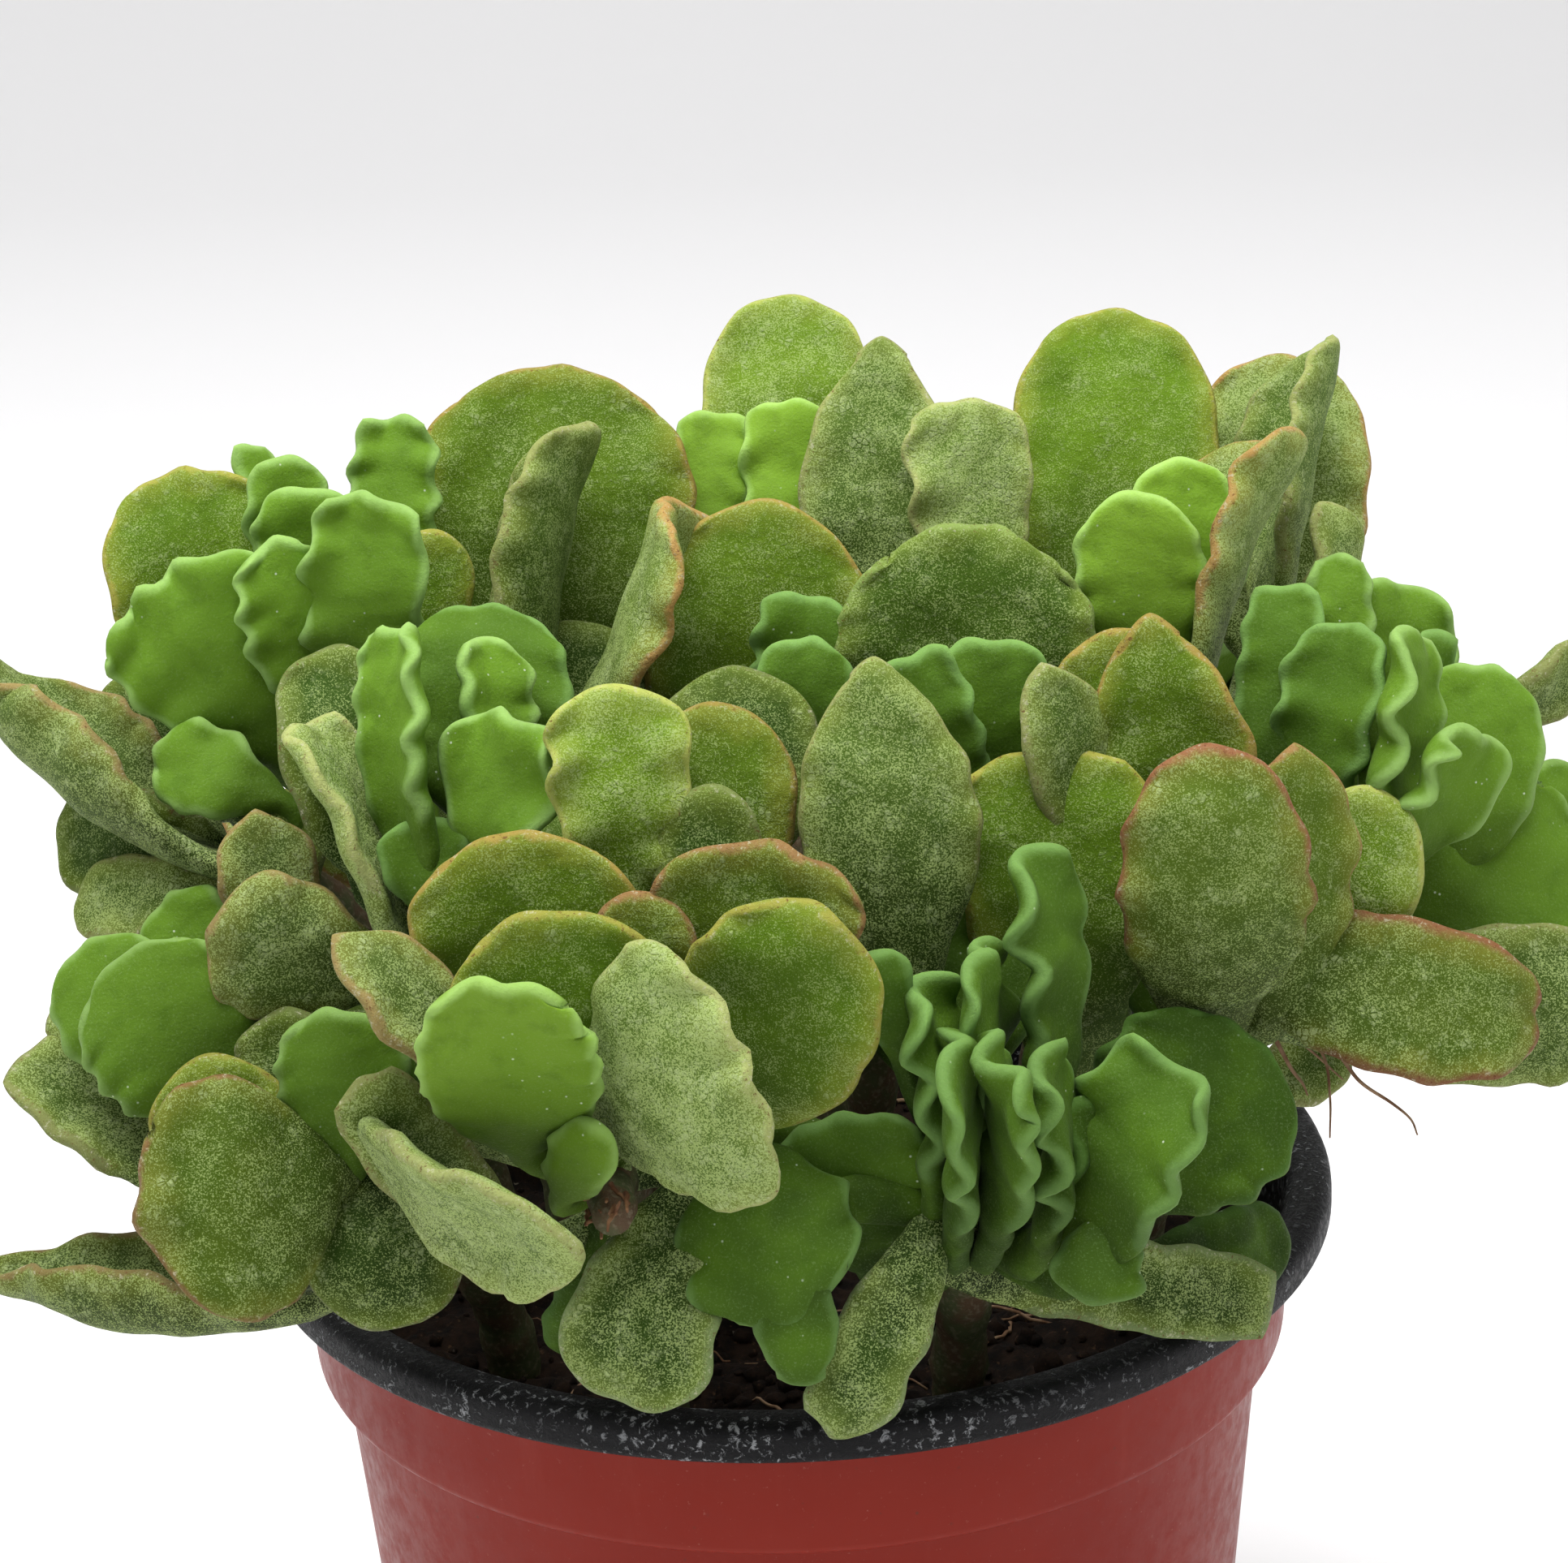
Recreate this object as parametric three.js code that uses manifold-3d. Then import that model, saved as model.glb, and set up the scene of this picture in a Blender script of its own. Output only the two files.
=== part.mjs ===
// A clump of crinkle-leaf succulent in a round thin-walled nursery pot.
// Millimetres, +Z up. The origin is the middle of the pot's base.
import * as THREE from "three";
import { mergeVertices } from "three/addons/utils/BufferGeometryUtils.js";
import Module from "manifold-3d";

// Pot
const RIM_RADIUS = 52.5;
const RIM_FOOT_Z = 88;
const LIP_HEIGHT = 3.4;
const LIP_WIDTH = 4.3;
const COLLAR_TOP_RADIUS = 48.6;
const COLLAR_FOOT_RADIUS = 47.9;
const COLLAR_HEIGHT = 12.3;
const BODY_TOP_RADIUS = 45.6;
const BASE_RADIUS = 39;
const WALL = 1.3;
const FLOOR = 2;
const BASE_FILLET = 1.6;
const POT_SIDES = 36;
const SOIL_SIDES = 24;
const DRAIN_RADIUS = 3.5;
const DRAIN_CIRCLE = 24;
const DRAIN_HOLES = 4;

// Soil
const SOIL_Z = 80;
const SOIL_BUMP = 1.1;
const SOIL_RINGS = [31, 16, 0];
const GAP = 0.3;

// Leaves and stems
const LEAF_THICKNESS = 2.3;
const PETIOLE_THICKNESS = 2.7;
const PETIOLE_MIN = 1.1;
const PETIOLE_MAX = 2.3;
const PETIOLE_REACH = 9;
const JOINT_OFFSET = 0.7;
const CURVE_POINTS = 24;
const STEM_SIDES = 6;
const STEM_STEPS = 4;
const STEM_RADIUS = 2.5;
const STUB_RADIUS = 1.9;
const ROOT_DEPTH = 9;
const WAVE_STEP = 2.4;
const ROWS_LARGE = [-1, 0, 0.3, 0.6, 0.85, 1];
const ROWS_SMALL = [-1, 0, 0.5, 0.82, 1];
const ROWS_TINY = [-1, 0, 0.6, 1];
const ROWS_RUFFLED = [-1, 0, 0.6, 1];
const LARGE_WIDTH = 15;
const TINY_WIDTH = 8.2;
const RUFFLED = 1.5;

// The plant was measured from one viewing point: across and up in the plane through the clump that
// faces that point, and back along the line of sight.
const VIEW_POINT = new THREE.Vector3(0, -359.3, 264.5);
const VIEW_AHEAD = new THREE.Vector3(0.0016, 0.9376, -0.3476);
const VIEW_RIGHT = new THREE.Vector3(0.9991, -0.0163, -0.0394);
const VIEW_UP = new THREE.Vector3(0.0426, 0.3472, 0.9368);
const VIEW_DISTANCE = 400.5;

// Blade outlines, each in parts of the leaf's length and width: how wide the foot is, where the blade is
// widest, how fast it widens, how much it narrows from there to the tip, and how far the corners of the
// tip drop, with the power of that curve.
const OUTLINES = {
  round: { foot: 0.22, widest: 0.55, ease: 0.75, narrow: 0.36, drop: 0.14, power: 2 },
  spoon: { foot: 0.26, widest: 0.7, ease: 1.1, narrow: 0.34, drop: 0.12, power: 2 },
  wedge: { foot: 0.24, widest: 0.85, ease: 0.9, narrow: 0.08, drop: 0.08, power: 2 },
  oval: { foot: 0.5, widest: 0.45, ease: 0.9, narrow: 0.45, drop: 0.1, power: 2 },
  point: { foot: 0.34, widest: 0.5, ease: 0.8, narrow: 0.66, drop: 0.12, power: 1.3 },
  strap: { foot: 0.55, widest: 0.6, ease: 0.8, narrow: 0.26, drop: 0.08, power: 2 },
};

// Shoots. root: where the stem stands in the soil, x and y. crown: where it ends, across, up, back.
// stub: the end of a dried flower stalk that grows from the crown.
// Each leaf: outline, then tip across, up, back, foot across, foot up, foot back, width, roll of the
// face, bow of the midrib, curl of the blade in degrees, height and number of the waves in its margin.
const SHOOTS = {
  shoot_upper_left: {
    root: [-22, 6],
    crown: [-46, 5, -22],
    leaves: [
      ["round", -60, 31, -27, -54, 5, -25, 18.5, 10, 1.5, 40, 0.6, 3],
      ["wedge", -62, 20.5, -36, -50, 3, -29, 18, 0, 1, 20, 1.1, 4],
      ["spoon", -50.5, 24, -37, -47, 6, -29, 9.5, 20, 1, 30, 0.8, 4],
      ["wedge", -40.5, 28.5, -39, -42, 7, -31, 12.5, -10, 1, 30, 1.1, 5],
      ["strap", -53, 33.5, -25, -50, 16, -24, 5, 40, 0, 30, 0.8, 3],
      ["spoon", -49.5, 32.5, -29, -49, 15, -26, 8, 10, 0, 30, 1, 4],
      ["spoon", -47.5, 29.5, -33, -47.5, 13, -28, 9.5, 0, 0, 20, 0.8, 3],
      ["strap", -38.5, 36.5, -23, -39, 14, -24, 8.5, 0, 0, 40, 1.2, 4],
      ["round", -34, 25, -27, -37, 10, -26, 8.5, 10, 0, 20, 0.4, 3],
    ],
  },
  shoot_left: {
    root: [-28, -4],
    crown: [-49, -9, -32],
    leaves: [
      ["strap", -82, 14, -22, -55, -6, -34, 16, -45, -2, 95, 0.8, 4],
      ["round", -66, 10.5, -14, -54, -3, -20, 13, 0, 1, 20, 0.5, 3],
      ["spoon", -62.5, 3, -34, -50, -2, -34, 9, 10, 0.5, 20, 0.8, 3],
      ["spoon", -72, -4, -22, -54, -8, -30, 12, -10, 1, 30, 0.6, 3],
      ["spoon", -70, -12, -26, -52, -12, -34, 8.5, 20, 1, 60, 0.6, 3],
      ["spoon", -59.5, -11.8, -34, -55, -20, -36, 6.5, 0, 0, 20, 0.4, 3],
      ["point", -52.5, -2.8, -37, -50, -16, -37, 9.5, 10, 0.5, 30, 0.4, 3],
      ["spoon", -50, -1, -33, -47, -12, -34, 6, 0, 0, 20, 0.4, 3],
    ],
  },
  shoot_lower_left: {
    root: [-27, -17],
    crown: [-43, -38, -48],
    leaves: [
      ["spoon", -57.5, -15, -52, -39, -20, -46, 12, -15, 1.5, -30, 0.9, 4],
      ["round", -66, -17.5, -48, -54, -33, -46, 17, 0, 1.5, 20, 0.4, 4],
      ["round", -69.5, -16, -42, -60, -31, -43, 12, 0, 1, 20, 0.4, 3],
      ["spoon", -72.8, -23, -36, -61, -29, -40, 5, 10, 0, 20, 0.3, 3],
      ["strap", -75.5, -27.8, -38, -59, -40, -44, 10.5, -10, 1, 40, 0.5, 3],
      ["round", -58, -27, -52, -53, -43, -50, 12.5, 0, 1, 20, 0.6, 4],
      ["round", -64, -43.5, -60, -43, -38, -53, 24, 0, 2.5, -20, 0.9, 4],
      ["strap", -82, -47.5, -34, -50, -52, -46, 9, 30, -3, 70, 0.8, 4],
      ["round", -44.5, -22.3, -57, -42, -37, -52, 10.5, 0, 0.5, 20, 0.4, 3],
      ["spoon", -40, -23, -52, -39, -36, -50, 7, 10, 0, 20, 0.3, 3],
      ["spoon", -49.5, -23, -50, -46, -34, -49, 6, 0, 0, 20, 0.3, 3],
      ["round", -42, -54.5, -52, -38, -39, -48, 13, 0, 2, -20, 0.5, 3],
    ],
  },
  shoot_rosette: {
    root: [-14, -7],
    crown: [-31, -12, -48],
    leaves: [
      ["round", -29.5, 18, -43, -30.5, -4, -46, 16, 0, 1, 30, 0.9, 4],
      ["strap", -38.3, 16, -54, -36, -9, -52, 9, 0, 0.5, 120, 1, 4],
      ["spoon", -30, 14.5, -50, -28, -2, -50, 8, 0, 0.5, 40, 0.9, 4],
      ["wedge", -27.5, 7, -57, -27.5, -12, -53, 11, 0, 1, 30, 1.2, 4],
      ["spoon", -36, -3.6, -54, -34.5, -14, -52, 8.5, 0, 0.5, 20, 0.8, 4],
      ["round", -45, 13.2, -42, -42, -9, -44, 12, 10, 1, 40, 0.6, 3],
      ["strap", -48.5, 5.5, -50, -39, -16, -49, 9, 30, 1, 70, 0.8, 4],
    ],
  },
  shoot_back_left: {
    root: [-8, 15],
    crown: [-18, 6, -24],
    leaves: [
      ["round", -22, 41.7, -13, -24, 11, -15, 27, 0, 1.5, 30, 0.4, 4],
      ["strap", -20.5, 35, -24, -26.5, 10, -26, 10, 20, 1, 90, 0.6, 3],
      ["strap", -10.8, 27.3, -36, -20, 8, -34, 10, -20, 1, 90, 0.7, 4],
      ["round", -1, 27.8, -33, -3, 2, -30, 20.5, 0, 1.5, 20, 0.5, 4],
      ["wedge", 2.5, 18.8, -41, 0, 3, -38, 9, 10, 0.5, 30, 0.9, 4],
      ["round", 2.5, 14.6, -46, 1, 0, -42, 9.5, 0, 0.5, 20, 0.5, 3],
    ],
  },
  shoot_centre: {
    root: [-5, -8],
    crown: [-6, -24, -54],
    leaves: [
      ["wedge", -16.5, 9.5, -61, -16, -16, -57, 12.5, 10, 1, 20, 1, 5],
      ["round", -6, 8, -55, -8, -14, -54, 14, 0, 1, 20, 0.4, 3],
      ["round", -7.5, -0.3, -60, -8, -16, -57, 9.5, 0, 0.5, 20, 0.4, 3],
      ["round", -4, 11.4, -48, -5, -10, -50, 14.5, 0, 1, 20, 0.4, 3],
      ["point", 9.2, 12.8, -59, 11, -20, -56, 18.5, 0, 2, -30, 0.5, 3],
      ["wedge", -2, -5.6, -68, -3, -26, -60, 21, 0, 1, 30, 0.9, 4],
      ["round", -14.3, -10.8, -68, -13, -26, -61, 9.5, 0, 0.5, 20, 0.5, 3],
      ["round", -27, -4.8, -67, -24, -24, -60, 19.5, 0, 1.5, 20, 0.4, 4],
    ],
  },
  shoot_centre_front: {
    root: [-13, -27],
    crown: [-17, -39, -58],
    stub: [-17, -43, -67],
    leaves: [
      ["round", -25.5, -12.8, -74, -18.5, -35, -63, 20, 0, 1.5, 20, 0.4, 4],
      ["round", -28.3, -19.6, -82, -25, -37, -66, 18, 0, 1.5, 20, 0.8, 6],
      ["wedge", -4, -27, -80, -18, -33, -65, 24, 0, 2, -25, 0.8, 4],
      ["round", 6.5, -18, -75, -9, -34, -61, 20, 0, 1.5, 20, 0.7, 5],
      ["wedge", -27.8, -38, -79, -29, -45, -60, 20, 0, 2, -30, 0.8, 4],
      ["strap", -42.5, -29.5, -66, -29, -45, -56, 8.5, 0, 1, 30, 0.5, 3],
      ["point", -44.6, -15.4, -71, -31, -30, -67, 10, 0, 1, -40, 0.4, 3],
      ["spoon", -36.5, -15, -62, -32, -26, -59, 7.5, 0, 0.5, 20, 0.4, 3],
      ["round", -18.3, -33.8, -73, -22, -41, -66, 6, 0, 0.5, 20, 0.5, 3],
      ["round", -16, -62, -61, -11, -40, -58, 12.5, 0, 2, -30, 0.7, 3],
      ["spoon", -22, -59, -48, -19, -46, -50, 8, 0, 1, 20, 0.3, 3],
    ],
  },
  shoot_back_centre: {
    root: [8, 19],
    crown: [12, 8, -24],
    leaves: [
      ["round", 1, 48.3, -6, 0, 20, -10, 17, 0, 1, 20, 0.4, 3],
      ["strap", 9.6, 43.8, -17, 8, 14, -18, 15.5, -20, 1, 85, 0.6, 3],
      ["wedge", 17.7, 38.3, -21, 19, 13, -19, 11, 15, 1, 30, 0.7, 3],
      ["strap", 23.5, 33, -3, 24, 15, -9, 6, 65, 0, 20, 0.4, 3],
      ["wedge", -7, 36.6, -11, -6, 18, -13, 7.5, 0, 0.5, 20, 0.8, 4],
      ["wedge", 0.5, 37.8, -13, 0, 16, -14, 9, 0, 0.5, 20, 0.8, 4],
      ["spoon", 12.5, 30.5, -13, 12.5, 16, -15, 5.5, 0, 0, 20, 0.5, 3],
      ["wedge", 18, 25.4, -41, 17, -1, -36, 24, 0, 1.5, 20, 0.8, 4],
      ["wedge", 19.5, 14, -49, 21.5, -4, -43, 11.5, 10, 1, 30, 1, 4],
      ["strap", 12.5, 12.8, -53, 18, -4, -47, 8, 0, 0.5, 40, 1, 4],
    ],
  },
  shoot_back_right: {
    root: [24, 13],
    crown: [38, 7, -24],
    leaves: [
      ["round", 33, 46.8, -8, 32, 12, -12, 20.5, 0, 1.5, 20, 0.4, 4],
      ["round", 50, 42.4, 0, 47, 12, -6, 18.5, 0, 1.5, 20, 0.6, 4],
      ["strap", 54.8, 44, -11, 47.5, 14, -15, 9.5, -20, 0.5, 90, 0.6, 3],
      ["strap", 50.8, 34, -28, 42, 12, -31, 10, -20, 1, 90, 0.7, 4],
      ["round", 35, 28.8, -38, 35.5, 10, -33, 12, 0, 1, 20, 0.6, 4],
      ["round", 38.7, 32.4, -32, 40, 12, -29, 11.5, 10, 1, 20, 0.5, 4],
      ["wedge", 33, 15.2, -46, 35, -8, -43, 14, 10, 1, 30, 0.7, 3],
      ["wedge", 40.5, 14.5, -53, 39, -12, -47, 15.5, -10, 1.5, 60, 1, 4],
      ["point", 25.3, 12, -56, 32.5, -9, -48, 8, 50, 0.5, 20, 0.3, 3],
      ["wedge", 25.5, 3, -53, 29, -22, -47, 18, 0, 1.5, 20, 0.8, 4],
    ],
  },
  shoot_right_upper: {
    root: [33, 0],
    crown: [56, -7, -36],
    leaves: [
      ["strap", 55, 22.3, -33, 55, 3, -34, 6.5, 0, 0.5, 50, 1, 4],
      ["wedge", 61, 20, -30, 58.5, 1, -30, 11.5, 0, 0.5, 30, 1.2, 4],
      ["strap", 65, 15, -34, 62, 1, -34, 5, 20, 0, 30, 0.8, 3],
      ["wedge", 55, 27.7, -21, 52, 8, -26, 7.5, 40, 0.5, 30, 0.6, 3],
      ["strap", 50.3, 19.4, -39, 48, 0, -39, 8, -20, 0.5, 60, 0.5, 3],
      ["spoon", 57.2, 15.6, -43, 52.5, -6, -40, 11, -20, 1, 60, 0.6, 3],
      ["wedge", 61.5, 15.3, -45, 57, -8, -42, 9, 0, 1, 40, 1.2, 4],
      ["round", 69.5, 11.6, -36, 66, -9, -35, 13.5, 0, 1, 20, 0.6, 4],
      ["wedge", 67.3, 6.7, -47, 62, -8, -42, 9, 0, 1, 60, 1.2, 4],
      ["strap", 86, 16, -22, 69, 5, -28, 8, 40, 0, 50, 0.8, 3],
      ["round", 79.5, -5, -31, 59, -13, -36, 17, 0, 1.5, 20, 0.7, 4],
      ["round", 58.5, -0.5, -49, 54, -20, -44, 12.5, 0, 1, 20, 0.4, 3],
      ["spoon", 79.5, 0, -26, 66, -6, -30, 7, 0, 0.5, 20, 0.4, 3],
    ],
  },
  shoot_right: {
    root: [31, -14],
    crown: [45, -24.3, -46.7],
    leaves: [
      ["oval", 42, 4.3, -65, 42.5, -20, -54, 17.5, 0, 3, -40, 0.8, 4],
      ["point", 50.7, 3.9, -57, 49, -22, -49, 13, 20, 1, -20, 0.6, 3],
      ["spoon", 75.5, -22.5, -47, 47, -20, -48, 14, 0, 2, 20, 0.7, 4],
      ["spoon", 86, -22, -36, 49, -24, -45, 12, 10, -2, -30, 0.4, 3],
      ["spoon", 55.5, -25.8, -36, 45, -32, -42, 7, 0, 0.5, 20, 0.4, 3],
    ],
  },
  shoot_crest: {
    root: [14, -31],
    crown: [20, -43, -56],
    leaves: [
      ["strap", 24.6, -7, -62, 24, -30, -58, 7, 20, 1, 40, 1.8, 4],
      ["wedge", 18.8, -16, -63, 18, -36, -56, 8.6, 0, 1, 30, 2, 5],
      ["wedge", 11.5, -20.6, -65, 15, -41, -57, 9.5, 10, 1, 30, 2, 5],
      ["wedge", 15.5, -26, -73, 16, -44, -59, 9, 20, 1, 40, 2.2, 5],
      ["wedge", 21.5, -27, -74, 20, -44, -59, 9.5, -20, 1, 40, 2.2, 5],
      ["strap", 25.7, -27.3, -68, 25, -44, -58, 7, -10, 1, 40, 1.8, 5],
      ["strap", 30, -31.3, -62, 28, -42, -57, 5, 20, 0.5, 40, 1.2, 4],
      ["wedge", 42, -32, -67, 29, -44, -58, 15, 0, 1.5, 30, 1.8, 5],
      ["wedge", 30.5, -52, -62, 32, -43, -59, 8, 0, 1.5, -30, 1, 3],
      ["round", 46.5, -25, -54, 33, -41, -53, 18.5, 0, 1.5, 20, 0.8, 5],
      ["round", 12.5, -13.3, -51, 15, -31, -51, 12, 0, 1, 20, 0.6, 3],
      ["spoon", 8.6, -16.6, -66.5, 12, -28, -61, 5.5, 0, 0.5, 20, 0.4, 3],
      ["wedge", 4.5, -33.3, -59, 9, -48, -54, 15, 0, 1, 20, 1.1, 5],
      ["wedge", 2, -55.5, -64, 1, -37, -58, 13.5, 0, 2, -20, 1.5, 4],
      ["strap", 4.5, -65, -60, 14, -46, -59, 9, 0, 2, -20, 1.1, 4],
      ["strap", 48.5, -52, -41, 18, -48, -52, 8.5, 0, -2, 50, 0.3, 3],
      ["spoon", 50, -45.5, -32, 34, -48, -44, 8, 0, 0.5, 20, 0.3, 3],
    ],
  },
};

// Shoots on the side turned from the viewing point. root: in the soil. crown: x, y, z. Their leaves fan
// out round the stem about the heading, from the lowest and longest to the youngest at the top.
const GOLDEN_PART = 0.618;
const REAR_SHOOTS = {
  shoot_rear_left: { root: [-20, 24], crown: [-42, 32, 119], heading: 152, spread: 170, leaves: 10, seed: 3 },
  shoot_rear_middle: { root: [4, 33], crown: [2, 48, 128], heading: 90, spread: 150, leaves: 10, seed: 1 },
  shoot_rear_right: { root: [28, 26], crown: [44, 35, 119], heading: 36, spread: 180, leaves: 10, seed: 5 },
};
const REAR_LENGTH = [35, 21];
const REAR_WIDTH = [18, 11];
const REAR_LIFT = [8, 72];
const REAR_HEIGHT = [0.55, 0.95];
const REAR_SCATTER = [0.9, 1.1];
const REAR_TILT = 20;
const REAR_FOOT = 0.3;
const REAR_OUTLINES = { old: "round", young: "wedge", youngFrom: 0.6 };
const REAR_FORM = { bow: 1.5, wave: 0.7, waves: 4, curl: 30 };

const wasm = await Module();
wasm.setup();

// A closed mesh with merged vertices as a solid that can be joined and cut.
function solid(geometry) {
  const bare = geometry.clone();
  bare.deleteAttribute("normal");
  bare.deleteAttribute("uv");
  const merged = mergeVertices(bare, 1e-4);
  const vertProperties = new Float32Array(merged.attributes.position.array);
  const triVerts = new Uint32Array(merged.index.array);
  return new wasm.Manifold(new wasm.Mesh({ numProp: 3, vertProperties, triVerts }));
}

function meshOf(name, body, color, roughness) {
  const { vertProperties, triVerts } = body.getMesh();
  const geometry = new THREE.BufferGeometry();
  geometry.setAttribute("position", new THREE.BufferAttribute(new Float32Array(vertProperties), 3));
  geometry.setIndex(new THREE.BufferAttribute(new Uint32Array(triVerts), 1));
  geometry.computeVertexNormals();
  const mesh = new THREE.Mesh(geometry, new THREE.MeshStandardMaterial({ color, roughness, metalness: 0 }));
  mesh.name = name;
  return mesh;
}

// The biggest of a solid's separate bodies: the loose scraps are dropped.
function largest(body) {
  return body.decompose().reduce((best, each) => (each.volume() > best.volume() ? each : best));
}

// A ring or disc turned about the pot's axis, from its profile of [radius, height] points.
function turned(profile, sides) {
  return solid(new THREE.LatheGeometry(profile.map(([r, z]) => new THREE.Vector2(r, z)), sides)
    .rotateX(Math.PI / 2));
}

function seen([across, up, back]) {
  const reach = VIEW_DISTANCE + back;
  return VIEW_POINT.clone()
    .addScaledVector(VIEW_AHEAD, reach)
    .addScaledVector(VIEW_RIGHT, (across * reach) / VIEW_DISTANCE)
    .addScaledVector(VIEW_UP, (up * reach) / VIEW_DISTANCE);
}

// A point on the bent line from start over knee to end, and its direction.
function bend(start, knee, end, t) {
  const point = start.clone().multiplyScalar((1 - t) ** 2)
    .addScaledVector(knee, 2 * t * (1 - t))
    .addScaledVector(end, t ** 2);
  const along = knee.clone().sub(start).multiplyScalar(1 - t)
    .addScaledVector(end.clone().sub(knee), t)
    .normalize();
  return { point, along };
}

// The part of a direction that is square to an axis, as a unit vector.
function squareTo(direction, axis) {
  return direction.clone().addScaledVector(axis, -direction.dot(axis)).normalize();
}

const unit = (value) => Math.min(1, Math.max(0, value));

// How wide a blade is at s, from 0 at its foot to 1 at its tip, in parts of its full width.
function breadth(form, s) {
  const rise = Math.sin((Math.PI / 2) * unit(s / form.widest)) ** form.ease;
  const past = unit((s - form.widest) / (1 - form.widest));
  return (form.foot + (1 - form.foot) * rise) * (1 - form.narrow * past ** 2);
}

// The surface of a leaf. It gives the middle of the blade and the direction of its face at s, from -1
// at the stem over 0 at the foot of the blade to 1 at the tip, and v, from -1 to 1 across it.
function leafSurface(leaf) {
  const { form, foot, tip, joint, width, bow, curl, wave, waves, phase } = leaf;
  const chord = tip.clone().sub(foot);
  const length = chord.length();
  const lie = chord.clone().normalize();
  const face = squareTo(leaf.facing, lie).applyAxisAngle(lie, leaf.roll);
  const knee = foot.clone().add(tip).multiplyScalar(0.5).addScaledVector(face, 2 * bow);
  const start = knee.clone().sub(foot).normalize();
  const heel = foot.clone().addScaledVector(start, -foot.distanceTo(joint) / 2);
  const petiole = Math.min(PETIOLE_MAX, Math.max(PETIOLE_MIN, (form.foot * width) / 2));
  const petioleLie = foot.clone().sub(joint).normalize();
  const bendRadius = curl ? width / curl : 0;
  return (s, v) => {
    const side = Math.abs(v);
    const blade = unit(s);
    const reach = s > 0 ? s * (1 - form.drop * side ** form.power * s) : 0;
    const at = s < 0 ? bend(joint, heel, foot, 1 + s) : bend(foot, knee, tip, reach);
    if (s <= 0) at.along.add(petioleLie).normalize();
    const half = s < 0 ? petiole : Math.max(petiole, (width / 2) * breadth(form, s));
    const normal = squareTo(face, at.along);
    const right = new THREE.Vector3().crossVectors(at.along, normal);
    const turn = bendRadius ? (v * half) / bendRadius : 0;
    const out = bendRadius ? bendRadius * Math.sin(turn) : v * half;
    const lift = bendRadius ? bendRadius * (1 - Math.cos(turn)) : 0;
    const edge = 1 - (1 - side ** 2) * (1 - blade ** 3);
    const round = 0.5 + Math.atan2(v * half, (blade - 0.25) * length) / (2 * Math.PI);
    const ripple = wave * edge ** 1.5 * unit(2.5 * blade) * Math.sin(2 * Math.PI * waves * round + phase);
    const point = at.point.addScaledVector(right, out).addScaledVector(normal, lift + ripple);
    const faced = normal.clone().multiplyScalar(Math.cos(turn)).addScaledVector(right, -Math.sin(turn));
    return { point, faced };
  };
}

// A closed leaf: two grids of like triangles, front and back, that share the vertices of the margin. At
// the stem the section is a plain lozenge, so there the columns between margin and midrib fall together.
function leafSolid(leaf) {
  const surface = leafSurface(leaf);
  const { rows, columns } = leaf;
  const vertices = [];
  const faces = [];
  const last = rows.length - 1;
  const index = [0, 1].map(() => rows.map(() => []));
  rows.forEach((s, i) => {
    for (let j = 0; j <= columns; j += 1) {
      const v = s > 0 ? (2 * j) / columns - 1 : Math.sign(j - columns / 2);
      const { point, faced } = surface(s, v);
      const margin = Math.abs(v) === 1 || i === last;
      if (margin) {
        vertices.push(point);
        index[0][i][j] = vertices.length - 1;
        index[1][i][j] = vertices.length - 1;
        continue;
      }
      const full = s < 0.1 ? PETIOLE_THICKNESS : LEAF_THICKNESS;
      const half = (full / 2) * Math.sqrt(1 - Math.abs(v) ** 3) * (s > 0.7 ? 0.85 : 1);
      [1, -1].forEach((hand, face) => {
        vertices.push(point.clone().addScaledVector(faced, hand * half));
        index[face][i][j] = vertices.length - 1;
      });
    }
  });
  const put = (face, a, b, c) => faces.push(...(face === 0 ? [a, b, c] : [a, c, b]));
  for (let i = 0; i < last; i += 1) {
    for (let j = 0; j < columns; j += 1) {
      for (let face = 0; face < 2; face += 1) {
        const g = index[face];
        const [a, b, c, d] = [g[i][j], g[i][j + 1], g[i + 1][j + 1], g[i + 1][j]];
        if (j < columns / 2) {
          put(face, a, b, d);
          put(face, b, c, d);
        } else {
          put(face, a, b, c);
          put(face, a, c, d);
        }
      }
    }
  }
  for (let j = 0; j < columns; j += 1) {
    const [a, b] = [index[0][0][j], index[0][0][j + 1]];
    const [c, d] = [index[1][0][j + 1], index[1][0][j]];
    if (a !== d) faces.push(a, d, b);
    if (b !== c) faces.push(b, d, c);
  }
  const geometry = new THREE.BufferGeometry();
  const position = new Float32Array(vertices.flatMap((each) => each.toArray()));
  geometry.setAttribute("position", new THREE.BufferAttribute(position, 3));
  geometry.setIndex(faces);
  return solid(geometry);
}

// The rows and columns of a leaf's grid: more where the blade is wide or its margin is ruffled.
function gridOf(width, wave) {
  if (wave >= RUFFLED) return { rows: ROWS_RUFFLED, columns: 6 };
  if (width < TINY_WIDTH) return { rows: ROWS_TINY, columns: 2 };
  return { rows: width >= LARGE_WIDTH ? ROWS_LARGE : ROWS_SMALL, columns: 4 };
}

function stemCurve(root, crown) {
  const [x, y] = root;
  const start = new THREE.Vector3(x, y, SOIL_Z - ROOT_DEPTH);
  const knee = new THREE.Vector3(x, y, (SOIL_Z + crown.z) / 2);
  return new THREE.QuadraticBezierCurve3(start, knee, crown);
}

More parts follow.
